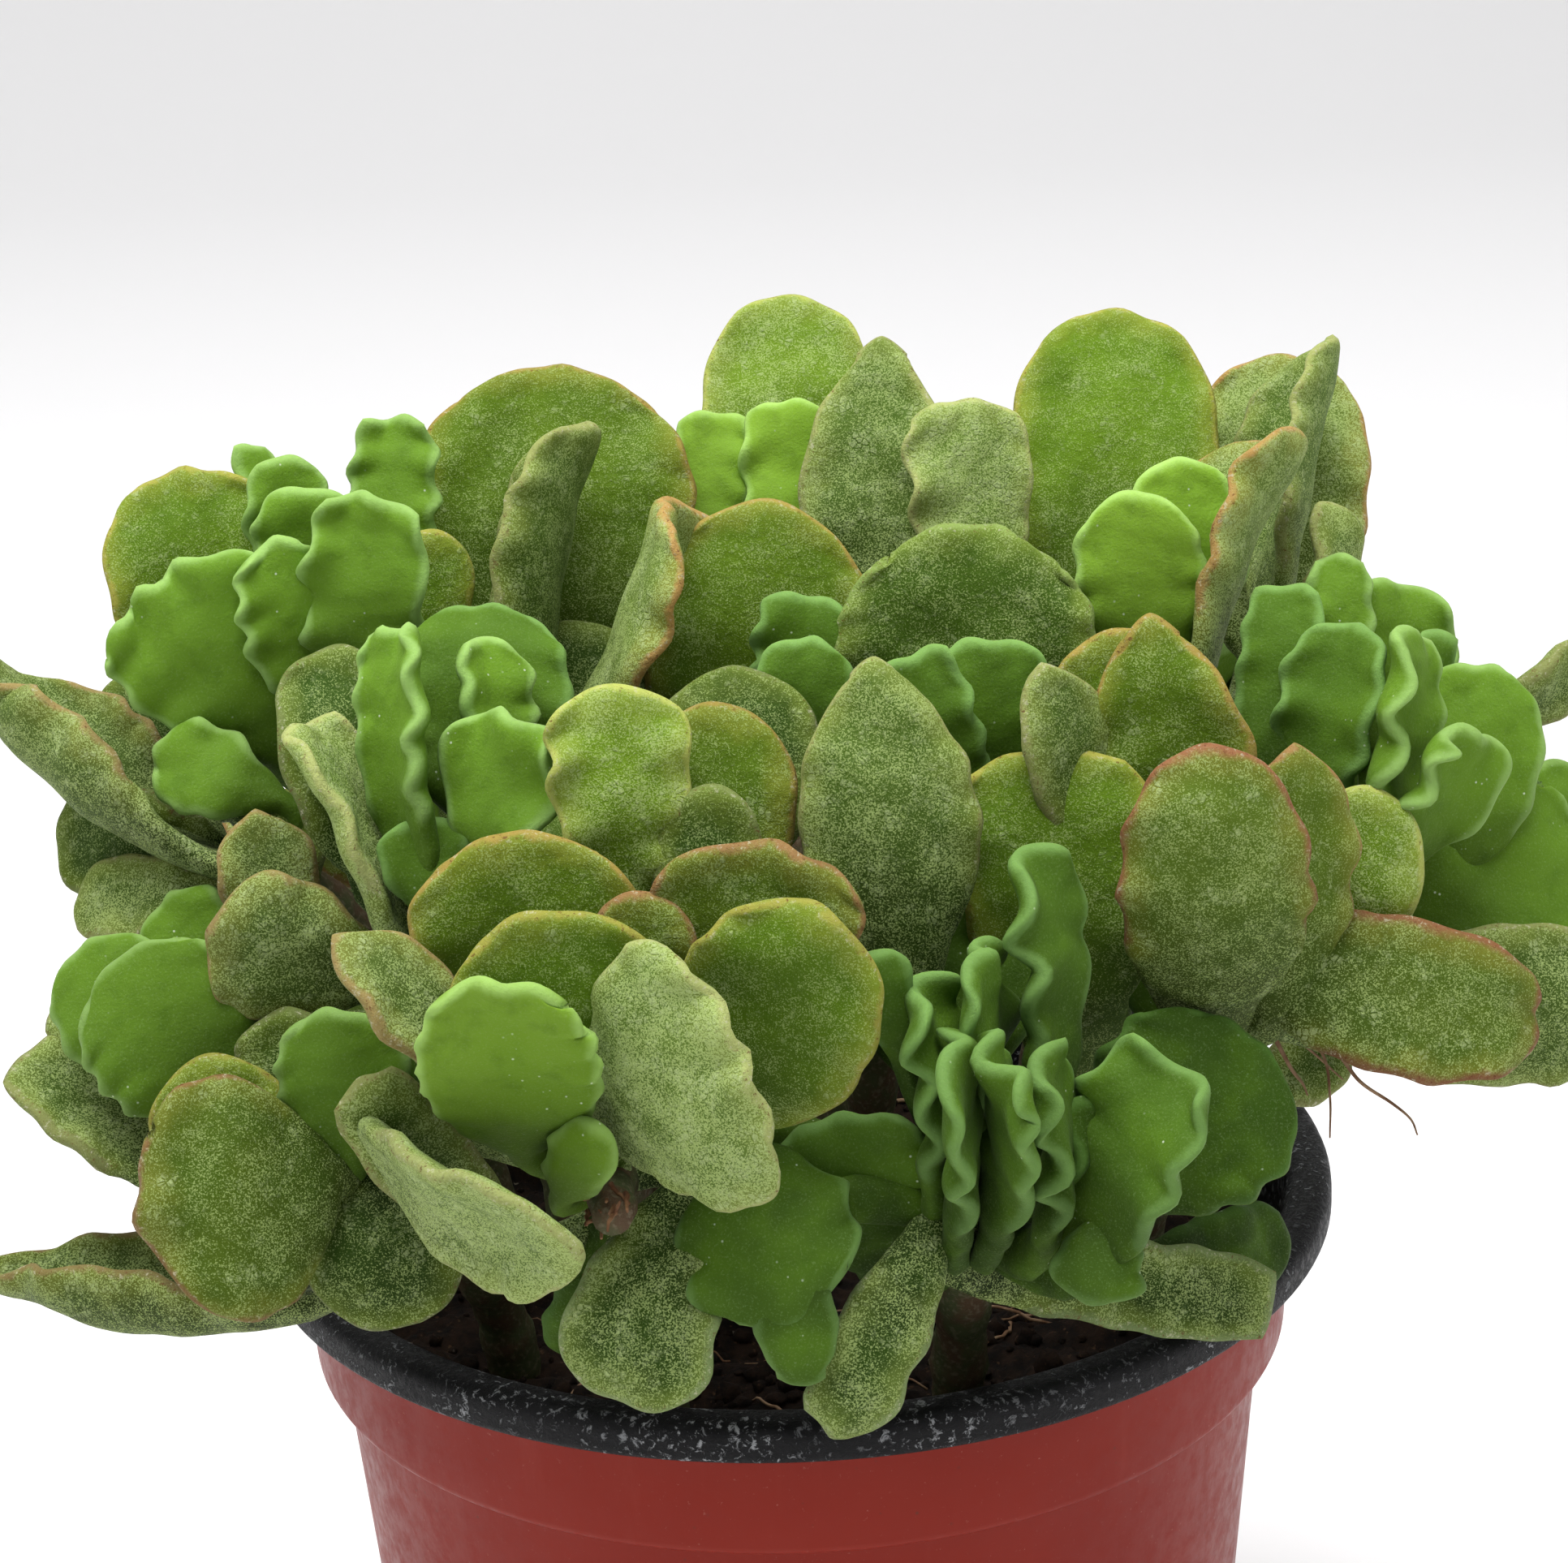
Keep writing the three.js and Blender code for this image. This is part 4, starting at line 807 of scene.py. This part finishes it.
def old_leaf():
    """Leaf under a crust of pale, cracked flakes, with a yellow to rust-red margin and dark specks."""
    n = Nodes("leaf_old")
    margin = n.attribute("margin_mm")
    flakes = n.attribute("flakes")
    reach = n.attribute("margin_reach")
    blade = n.attribute("blade_colour", "Color")
    warm = n.attribute("margin_colour", "Color")
    cloud = n.noise(5, detail=3)
    blade = n.blend(n.span(cloud, 0.35, 0.7, 0, 0.35), blade, (0.036, 0.085, 0.004))
    glow = n.add(margin, n.times(n.minus(n.noise(3, detail=3), 0.5), 4))
    blade = n.blend(n.span(glow, 0.2, 3.4, 0.5, 0), blade, n.blend(0.4, (0.20, 0.27, 0.015), warm))
    # Pale flakes: fine grains everywhere, and a cracked crust in patches
    grains = n.noise(0.16, detail=2, rough=0.75)
    patch = n.span(n.noise(3.2, detail=5, rough=0.7), 0.32, 0.68, -0.055, 0.055)
    level = n.minus(n.minus(0.585, n.times(flakes, 0.13)), patch)
    most = n.add(0.32, n.times(flakes, 0.36))
    shown = n.span(grains, level, n.add(level, 0.08), 0, most)
    blade = n.blend(shown, blade, (0.42, 0.53, 0.19))
    crust = n.span(n.cells(0.62, "DISTANCE_TO_EDGE"), 0.03, 0.16)
    heavy = n.add(n.noise(2.0, detail=5, rough=0.7), n.times(flakes, 0.16))
    crust = n.times(crust, n.span(heavy, 0.6, 0.8, 0, 0.5))
    blade = n.blend(crust, blade, (0.43, 0.52, 0.24))
    # Margin
    shift = n.times(n.minus(n.noise(1.3, detail=4), 0.5), 1.3)
    edge = n.math("DIVIDE", n.add(margin, shift), reach)
    blade = n.blend(n.span(edge, 0.1, 1.4, 0.85, 0), blade, warm)
    bits = n.noise(0.55, detail=4, rough=0.75)
    specks = n.times(n.span(bits, 0.58, 0.66), n.span(margin, 0.2, 1.1, 0.75, 0))
    blade = n.blend(specks, blade, (0.11, 0.032, 0.012))
    flecks = n.times(n.span(bits, 0.36, 0.44, 0.6, 0), n.span(margin, 0.2, 1.1))
    flecks = n.minus(n.span(bits, 0.34, 0.44, 0.6, 0), flecks, clamp=True)
    blade = n.blend(flecks, blade, (0.50, 0.48, 0.34))
    height = n.add(n.times(grains, 0.5), n.noise(0.8, detail=4))
    height = n.add(height, n.times(crust, 0.6))
    normal = n.bump(height, 0.18)
    rough = n.span(grains, 0.35, 0.7, 0.55, 0.8)
    return n.finish(
        blade, rough, normal, Subsurface_Weight=0.08, Subsurface_Radius=(0.8, 0.9, 0.2),
        Subsurface_Scale=1.0 * MM, Specular_IOR_Level=0.1, Sheen_Weight=0.01, Sheen_Roughness=0.5,
    )


def stem_skin():
    n = Nodes("stem")
    base = n.blend(n.span(n.noise(3, detail=3), 0.35, 0.65), (0.07, 0.085, 0.03), (0.10, 0.06, 0.03))
    base = n.blend(n.span(n.noise(0.5, detail=3), 0.5, 0.7, 0, 0.5), base, (0.22, 0.19, 0.12))
    normal = n.bump(n.noise(0.8, detail=5, rough=0.7), 0.3)
    return n.finish(base, 0.75, normal, Specular_IOR_Level=0.3)


def fibre_skin(name, light, dark):
    n = Nodes(name)
    base = n.blend(n.span(n.noise(1.5, detail=3), 0.35, 0.65), light, dark)
    normal = n.bump(n.noise(0.5, detail=3), 0.1)
    return n.finish(base, 0.8, normal, Specular_IOR_Level=0.25)


def terracotta_plastic():
    """Outer skin of the pot: satin brick-red plastic with dust, dark specks and faint streaks."""
    n = Nodes("pot_outside")
    base = n.blend(n.span(n.noise(30, detail=3), 0.35, 0.65), (0.222, 0.017, 0.008), (0.200, 0.014, 0.007))
    streaks = n.noise(4, detail=5, rough=0.6, stretch=(1, 1, 0.15))
    base = n.blend(n.span(streaks, 0.55, 0.8, 0, 0.15), base, (0.33, 0.07, 0.05))
    dust = n.noise(0.6, detail=5, rough=0.8)
    base = n.blend(n.span(dust, 0.62, 0.76, 0, 0.5), base, (0.5, 0.3, 0.25))
    grains = n.times(n.span(n.cells(2.3), 0.04, 0.09, 0.7, 0), n.span(n.noise(12), 0.5, 0.65))
    base = n.blend(grains, base, (0.1, 0.03, 0.02))
    rough = n.span(n.noise(2, detail=5, rough=0.7), 0.3, 0.7, 0.3, 0.5)
    height = n.add(n.noise(6, detail=4), n.times(streaks, 0.4))
    return n.finish(base, rough, n.bump(height, 0.12), Specular_IOR_Level=0.12)


def black_plastic():
    """Inner skin and rolled rim: black plastic with patches of white lime marks."""
    n = Nodes("pot_rim")
    marks = n.noise(0.9, detail=6, rough=0.75, warp=0.6)
    patches = n.noise(9, detail=3)
    rings = n.noise(1.2, detail=4, rough=0.7, stretch=(0.2, 0.2, 1.6))
    lime = n.times(n.span(marks, 0.54, 0.64), n.span(patches, 0.4, 0.62, 0.25, 0.85))
    base = n.blend(n.span(rings, 0.5, 0.75, 0, 0.3), (0.003, 0.003, 0.0035), (0.022, 0.022, 0.024))
    base = n.blend(lime, base, (0.36, 0.37, 0.38))
    rough = n.span(marks, 0.4, 0.65, 0.35, 0.8)
    return n.finish(base, rough, n.bump(marks, 0.14), Specular_IOR_Level=0.15)


def peat():
    n = Nodes("peat")
    damp = n.span(n.noise(2.5, detail=6, rough=0.7), 0.35, 0.65)
    base = n.blend(damp, (0.006, 0.004, 0.003), (0.03, 0.016, 0.009))
    base = n.blend(n.span(n.noise(0.8, detail=4), 0.62, 0.72, 0, 0.8), base, (0.10, 0.055, 0.028))
    grit = n.times(n.span(n.cells(2.1), 0.08, 0.16, 0.8, 0), n.span(n.noise(5), 0.5, 0.6))
    base = n.blend(grit, base, (0.3, 0.26, 0.2))
    return n.finish(base, 0.92, n.bump(n.noise(0.9, detail=7, rough=0.75), 0.6), Specular_IOR_Level=0.2)


YOUNG, OLD, STEM, DRIED = range(4)
dried = fibre_skin("dried_stalk", (0.25, 0.13, 0.065), (0.12, 0.05, 0.022))
leaf_skins = [young_leaf(), old_leaf(), stem_skin(), dried]
PLAIN = (0.1, 0.1, 0.1)
NO_LEAF = dict(blade_colour=PLAIN, margin_colour=PLAIN, margin_mm=FAR_FROM_MARGIN, margin_reach=1, flakes=0)


def add_stalk(heap, rng, crown, end):
    """The stub of the dried flower stalk, with torn fibres at its end."""
    steps = np.linspace(0, 1, STALK_RINGS)[:, None]
    line = crown + (end - crown) * steps + rng.normal(0, 0.12, (STALK_RINGS, 3))
    radii = np.linspace(*STALK_RADII, STALK_RINGS) * rng.uniform(0.85, 1.1, STALK_RINGS)
    heap.add(*tube_mesh(line, radii), STEM, **NO_LEAF)
    for _ in range(STALK_FIBRES):
        start = line[rng.integers(STALK_RINGS // 2, STALK_RINGS)] + rng.normal(0, 0.9, 3)
        way = direction(end - crown) * rng.uniform(1, 2.8) + rng.normal(0, 0.7, 3)
        steps = np.linspace(0, 1, FIBRE_RINGS)[:, None]
        fibre = start + way * steps + rng.normal(0, 0.08, (FIBRE_RINGS, 3))
        heap.add(*tube_mesh(fibre, np.linspace(*FIBRE_RADII, FIBRE_RINGS), 6), DRIED, **NO_LEAF)


def grow(name, stem, leaves, seed, stub=None):
    """One shoot: its stem, its leaves and the dried stalk if it has one, as one piece."""
    rng = np.random.default_rng(seed)
    heap = Heap()
    for leaf in leaves:
        finish = FINISHES[leaf.finish]
        points, faces, margin, lengthwise = leaf_mesh(leaf, rng)
        # A random tone per leaf, darker towards its foot: partly its own deeper green there, partly painted
        # shade between the leaves
        tone_and_painted_shade = rng.uniform(*LEAF_SCATTER) * mix(FOOT_TONE_AND_PAINTED_SHADE, ease(lengthwise / FOOT_TONE_AND_PAINTED_SHADE_END))
        # Painted shade on leaves low in the clump and painted light on those high in it, by height
        tone_and_painted_shade = (tone_and_painted_shade * mix(PAINTED_SHADE_AND_LIGHT_BY_HEIGHT, unit((points[:, 2] - PAINTED_SHADE_FROM_Z) / PAINTED_SHADE_Z_RANGE)))[:, None]
        heap.add(
            points, faces, YOUNG if finish.young else OLD,
            blade_colour=np.array(finish.blade) * tone_and_painted_shade, margin_colour=np.array(finish.margin) * tone_and_painted_shade,
            margin_mm=margin, margin_reach=finish.reach, flakes=finish.flakes,
        )
    t = np.linspace(STEM_START, 1, STEM_RINGS)
    (high, pace), (low, quick) = STEM_KNOTS
    swell = 1 + high * np.sin(t * pace + seed) + low * np.sin(t * quick)
    closing = 1 - unit((1 - t) * STEM_CLOSING)
    radii = STEM_RADIUS * swell * np.sqrt(1 - STEM_END * closing**2)
    heap.add(*tube_mesh(stem(t)[0], radii), STEM, **NO_LEAF)
    if stub is not None:
        add_stalk(heap, rng, stem(1.0)[0], seen(stub))
    heap.piece(f"plant_{name}", leaf_skins, "leaf", name)


for order, (name, shoot) in enumerate(SHOOTS.items()):
    stem = stem_points(shoot.root, seen(shoot.crown))
    grow(name, stem, seen_leaves(shoot, stem), FRONT_SEED + order, shoot.stub)
for order, (name, shoot) in enumerate(REAR_SHOOTS.items()):
    stem = stem_points(shoot.root, np.array(shoot.crown, float))
    grow(name, stem, rear_leaves(shoot, stem), REAR_SEED + order)


# The pot: a turned shell whose lower edge, ledge and rolled rim are rounded, with holes in its floor.
# Its corners: radius, height, rounding.
LIP_TOP = RIM_FOOT_Z + LIP_HEIGHT
LEDGE_Z = RIM_FOOT_Z - COLLAR_HEIGHT
POT_CORNERS = [
    (0, 0, 0),
    (BASE_RADIUS - 4, 0, 0),
    (BASE_RADIUS, 0, 1.6),
    (BODY_TOP_RADIUS, LEDGE_Z, 0.5),
    (COLLAR_FOOT_RADIUS, LEDGE_Z, 1.1),
    (COLLAR_TOP_RADIUS, RIM_FOOT_Z - 0.4, 0.5),
    (RIM_RADIUS, RIM_FOOT_Z - 0.4, 0.8),
    (RIM_RADIUS, LIP_TOP, 1.7),
    (RIM_RADIUS - LIP_WIDTH, LIP_TOP, 1.9),
    (COLLAR_FOOT_RADIUS - WALL, LEDGE_Z + WALL, 1.0),
    (BODY_TOP_RADIUS - WALL, LEDGE_Z - WALL, 0.5),
    (BASE_RADIUS - WALL, FLOOR, 1.0),
    (0, FLOOR, 0),
]
POT_SIDES = 160
POT_STEP = 3.0
DRAIN_RADIUS = 3.5
DRAIN_CIRCLE = 24.0
DRAIN_HOLES = 4
DRAIN_SIDES = 40


def rounded(corners, steps=6, most=0.45):
    """A profile through corners, each rounded by no more than a share of the way to its neighbours."""
    line = []
    for k, (*here, rounding) in enumerate(corners):
        here, before = np.array(here), np.array(corners[k - 1][:2])
        after = np.array(corners[(k + 1) % len(corners)][:2])
        if rounding <= 0:
            line.append(here)
            continue
        reach = min(rounding, length_of(before - here) * most, length_of(after - here) * most)
        start = here + direction(before - here) * reach
        end = here + direction(after - here) * reach
        line += list(bend(start, here, end, np.linspace(0, 1, steps))[0])
    return line


def turned_mesh(profile, sides):
    """A ring-shaped solid turned round the z axis from a closed profile."""
    turn = np.linspace(0, FULL_TURN, sides, endpoint=False)
    radii, heights = np.array(profile).T
    points = np.stack([
        np.outer(np.cos(turn), radii), np.outer(np.sin(turn), radii), np.outer(np.ones(sides), heights),
    ], axis=-1).reshape(-1, 3)
    total, cells = len(points), ring_faces(sides + 1, len(profile))
    return points, [[a % total, d % total, c % total, b % total] for a, b, c, d in cells]


def drain_cutter():
    cutters = bmesh.new()
    radius, depth = DRAIN_RADIUS * MM, 4 * FLOOR * MM
    for k in range(DRAIN_HOLES):
        angle = FULL_TURN * (k + 0.5) / DRAIN_HOLES
        at = Vector((DRAIN_CIRCLE * math.cos(angle), DRAIN_CIRCLE * math.sin(angle), FLOOR / 2)) * MM
        bmesh.ops.create_cone(
            cutters, cap_ends=True, segments=DRAIN_SIDES, radius1=radius, radius2=radius, depth=depth,
            matrix=Matrix.Translation(at),
        )
    mesh = bpy.data.meshes.new("drain_cutter")
    cutters.to_mesh(mesh)
    cutters.free()
    return add_object("drain_cutter", mesh)


def make_pot():
    corners = rounded(POT_CORNERS)
    profile = [corners[0]]
    for a, b in zip(corners[:-1], corners[1:]):
        steps = max(1, int(length_of(b - a) / POT_STEP))
        profile += [a + (b - a) * (k + 1) / steps for k in range(steps)]
    points, faces = turned_mesh(profile, POT_SIDES)
    mesh = new_mesh("pot_shell", points * MM, faces)
    shell = add_object("pot_shell", mesh)
    work = bmesh.new()
    work.from_mesh(mesh)
    bmesh.ops.remove_doubles(work, verts=work.verts, dist=1e-6)
    bmesh.ops.recalc_face_normals(work, faces=work.faces)
    work.to_mesh(mesh)
    work.free()
    cutter = drain_cutter()
    cut = shell.modifiers.new("drain", "BOOLEAN")
    cut.operation, cut.solver, cut.object = "DIFFERENCE", "EXACT", cutter
    whole = bpy.data.meshes.new_from_object(shell.evaluated_get(bpy.context.evaluated_depsgraph_get()))
    shell.modifiers.clear()
    shell.data = whole
    bpy.data.objects.remove(cutter)
    whole.materials.clear()
    whole.materials.append(terracotta_plastic())
    whole.materials.append(black_plastic())
    for face in whole.polygons:
        centre, normal = face.center / MM, face.normal
        radius = math.hypot(centre.x, centre.y)
        away = (centre.x * normal.x + centre.y * normal.y) / max(1e-6, radius)
        outside = centre.z < RIM_FOOT_Z - 0.3 and (away > 0.25 or normal.z < -0.5)
        face.material_index = 0 if outside and radius <= COLLAR_TOP_RADIUS + 0.4 else 1
        face.use_smooth = True
    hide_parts("pot")
    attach(shell, "root")


# The soil and the loose fibres on it
SOIL_GAP = 0.3
SOIL_EDGE = COLLAR_FOOT_RADIUS - WALL - SOIL_GAP - 0.05
SOIL_RELIEF = ((0.9, 26), (0.55, 7), (0.3, 2.5))
SOIL_SIDES, SOIL_RINGS = 220, 66
SOIL_RELIEF_SEED, SOIL_SEED, FIBRE_SEED = 5, 8, 21
SOIL_SIDE = (
    (BASE_RADIUS - WALL - SOIL_GAP, FLOOR + SOIL_GAP), (BODY_TOP_RADIUS - WALL - SOIL_GAP, 73.0),
    (SOIL_EDGE, 78.0),
)
CRUMBS = 900
CRUMB_SIZE = (0.35, 1.1)
CRUMB_DENTS = 0.28
CRUMB_STRETCH = (0.6, 1.25)
FIBRES = 46
FIBRE_EDGE = 45.0
FIBRE_STEPS = 14
FIBRE_LENGTH = (6, 22)
FIBRE_BEND = 0.25
FIBRE_RADIUS = (0.1, 0.26)
FIBRE_ARCH = (0.2, 1.8)


def ball_shape():
    work = bmesh.new()
    bmesh.ops.create_icosphere(work, subdivisions=2, radius=1)
    points = np.array([v.co[:] for v in work.verts])
    faces = [[v.index for v in face.verts] for face in work.faces]
    work.free()
    return points, faces


def soil_height(x, y):
    rng = np.random.default_rng(SOIL_RELIEF_SEED)
    return SOIL_Z - 0.4 + sum(uneven(rng, x, y, *relief) for relief in SOIL_RELIEF)


def make_soil():
    """The soil's plug with a crumbly top and loose crumbs."""
    rng = np.random.default_rng(SOIL_SEED)
    heap = Heap()
    turn = np.linspace(0, FULL_TURN, SOIL_SIDES, endpoint=False)
    radii = np.linspace(1, 0, SOIL_RINGS + 1)[:-1] * SOIL_EDGE
    x, y = np.outer(radii, np.cos(turn)), np.outer(radii, np.sin(turn))
    rings = [
        np.stack([radius * np.cos(turn), radius * np.sin(turn), np.full(SOIL_SIDES, z)], axis=-1)
        for radius, z in SOIL_SIDE
    ]
    rings.append(np.stack([x, y, soil_height(x, y)], axis=-1).reshape(-1, 3))
    middles = [[0, 0, FLOOR + SOIL_GAP], [0, 0, float(soil_height(np.array(0.0), np.array(0.0)))]]
    points = np.concatenate([*rings, middles])
    count = len(rings) - 1 + SOIL_RINGS
    faces = ring_faces(count, SOIL_SIDES)
    last = (count - 1) * SOIL_SIDES
    for j in range(SOIL_SIDES):
        faces.append([(j + 1) % SOIL_SIDES, j, len(points) - 2])
        faces.append([last + j, last + (j + 1) % SOIL_SIDES, len(points) - 1])
    heap.add(points, faces)
    ball, ball_faces = ball_shape()
    for _ in range(CRUMBS):
        radius, angle = SOIL_EDGE * math.sqrt(rng.uniform(0, 0.97)), rng.uniform(0, FULL_TURN)
        x, y = radius * math.cos(angle), radius * math.sin(angle)
        size = CRUMB_SIZE[0] + CRUMB_SIZE[1] * rng.uniform() ** 3
        z = float(soil_height(np.array(x), np.array(y)))
        crumb = ball * (1 + rng.uniform(-CRUMB_DENTS, CRUMB_DENTS, (len(ball), 1)))
        crumb = crumb * rng.uniform(*CRUMB_STRETCH, 3) * size
        heap.add(crumb + np.array([x, y, z + 0.2 * size]), ball_faces)
    heap.piece("soil_top", [peat()], "soil", "soil")


def make_fibres():
    """Pale roots and bits of straw that lie on the soil."""
    rng = np.random.default_rng(FIBRE_SEED)
    heap = Heap()
    arch = np.abs(np.sin(np.linspace(0, math.pi, FIBRE_STEPS)))
    for _ in range(FIBRES):
        away, angle = (FIBRE_EDGE - 1) * math.sqrt(rng.uniform(0.05, 0.9)), rng.uniform(0, FULL_TURN)
        turn, length = rng.uniform(0, FULL_TURN), rng.uniform(*FIBRE_LENGTH)
        line = [np.array([away * math.cos(angle), away * math.sin(angle)])]
        for _ in range(FIBRE_STEPS - 1):
            turn += rng.normal(0, FIBRE_BEND)
            line.append(line[-1] + np.array([math.cos(turn), math.sin(turn)]) * length / FIBRE_STEPS)
        line = np.array(line)
        reach = np.hypot(line[:, 0], line[:, 1])
        line *= np.minimum(1, FIBRE_EDGE / np.maximum(reach, 1))[:, None]
        radius = rng.uniform(*FIBRE_RADIUS)
        rise = soil_height(line[:, 0], line[:, 1]) + radius + arch * rng.uniform(*FIBRE_ARCH)
        line = np.column_stack([line, rise])
        heap.add(*tube_mesh(line, np.linspace(radius, radius * 0.5, FIBRE_STEPS), 7))
    heap.piece("soil_fibres", [fibre_skin("fibre", (0.34, 0.22, 0.13), (0.16, 0.08, 0.04))], "soil")


# Roots that hang in the air from the right-hand stem, across, up, back
AIR_ROOTS = [
    ((47, -20, -46), (49.5, -22.1, -45), (53.4, -26.9, -44), (54.2, -31.2, -44), (54.2, -35.4, -44)),
    ((49.5, -22.1, -45), (54.7, -26.7, -42), (57.2, -29.8, -41), (60.3, -31.9, -40), (62.2, -33.5, -40),
     (62.9, -35.1, -40)),
    ((48, -23.5, -45), (49.7, -25.2, -44), (51.8, -26.3, -43), (55.5, -29.6, -42)),
    ((48.5, -25, -45), (50.3, -28.4, -44), (51.5, -30, -44), (52, -31.2, -44)),
]
AIR_ROOT_RADII = (0.24, 0.08)


def smooth_line(points, steps):
    """A smooth curve through points (Catmull-Rom)."""
    points = np.asarray(points, float)
    padded = np.vstack([2 * points[0] - points[1], points, 2 * points[-1] - points[-2]])
    line = []
    for k in range(len(points) - 1):
        a, b, c, d = padded[k:k + 4]
        for t in np.linspace(0, 1, steps, endpoint=False):
            line.append(0.5 * (2 * b + (c - a) * t + (2 * a - 5 * b + 4 * c - d) * t**2
                               + (3 * b - a - 3 * c + d) * t**3))
    line.append(points[-1])
    return line


def make_roots():
    heap = Heap()
    for root in AIR_ROOTS:
        line = smooth_line([seen(point) for point in root], 8)
        heap.add(*tube_mesh(line, np.linspace(*AIR_ROOT_RADII, len(line)), 8))
    heap.piece("plant_air_roots", [fibre_skin("air_root", (0.30, 0.19, 0.11), (0.16, 0.08, 0.04))], "leaf")


make_pot()
make_soil()
make_fibres()
make_roots()

# The floor, in metres, with a soft sweep up behind
FLOOR_SIDE = 3.0
FLOOR_FRONT = -1.5
SWEEP_START = 0.9
SWEEP_RADIUS = 0.8
SWEEP_STEPS = 24
BACK_TOP = 2.6
FLOOR_COLOUR = (0.86, 0.855, 0.86, 1)

# Area lights: place, size, power. All point at the plant.
LIGHT_TARGET = Vector((0, 0, 0.1))
LIGHTS = {
    "key": ((-0.1, -0.12, 1.2), (0.9, 0.8), 19),
    "left": ((-1.1, -0.5, 0.7), (0.7, 0.9), 2.5),
    "right": ((1.1, -0.5, 0.7), (0.7, 0.9), 2.5),
}
WORLD_STRENGTH = 0.4


def make_floor():
    line = [(FLOOR_FRONT, 0), (SWEEP_START, 0)]
    for k in range(1, SWEEP_STEPS + 1):
        angle = math.pi / 2 * k / SWEEP_STEPS
        line.append((SWEEP_START + SWEEP_RADIUS * math.sin(angle), SWEEP_RADIUS * (1 - math.cos(angle))))
    line.append((SWEEP_START + SWEEP_RADIUS, BACK_TOP))
    points = [(x, y, z) for x in (-FLOOR_SIDE, FLOOR_SIDE) for y, z in line]
    count = len(line)
    mesh = new_mesh("floor", points, [[count + k, count + k + 1, k + 1, k] for k in range(count - 1)])
    skin = bpy.data.materials.new("floor_paper")
    skin.use_nodes = True
    shader = skin.node_tree.nodes["Principled BSDF"]
    shader.inputs["Base Color"].default_value = FLOOR_COLOUR
    shader.inputs["Roughness"].default_value = 0.8
    mesh.materials.append(skin)
    add_object("floor", mesh)


make_floor()
for name, (at, size, energy) in LIGHTS.items():
    light = bpy.data.lights.new(name, "AREA")
    light.shape, light.size, light.size_y = "RECTANGLE", *size
    light.energy = energy
    holder = add_object(name, light)
    holder.location = at
    holder.rotation_euler = (LIGHT_TARGET - Vector(at)).to_track_quat("-Z", "Y").to_euler()

world = bpy.data.worlds.new("studio")
world.use_nodes = True
background = world.node_tree.nodes["Background"]
background.inputs["Color"].default_value = (1, 1, 1, 1)
background.inputs["Strength"].default_value = WORLD_STRENGTH
bpy.context.scene.world = world
bpy.context.scene.view_settings.view_transform = "Standard"

camera_data = bpy.data.cameras.new("camera")
camera_data.sensor_fit = "HORIZONTAL"
camera_data.lens_unit = "FOV"
camera_data.angle = math.radians(VIEW_ANGLE)
camera = add_object("camera", camera_data)
pose = np.eye(4)
pose[:3] = np.column_stack([VIEW_RIGHT, VIEW_UP, -VIEW_AHEAD, VIEW_POINT * MM])
camera.matrix_world = Matrix(pose)
bpy.context.scene.camera = camera
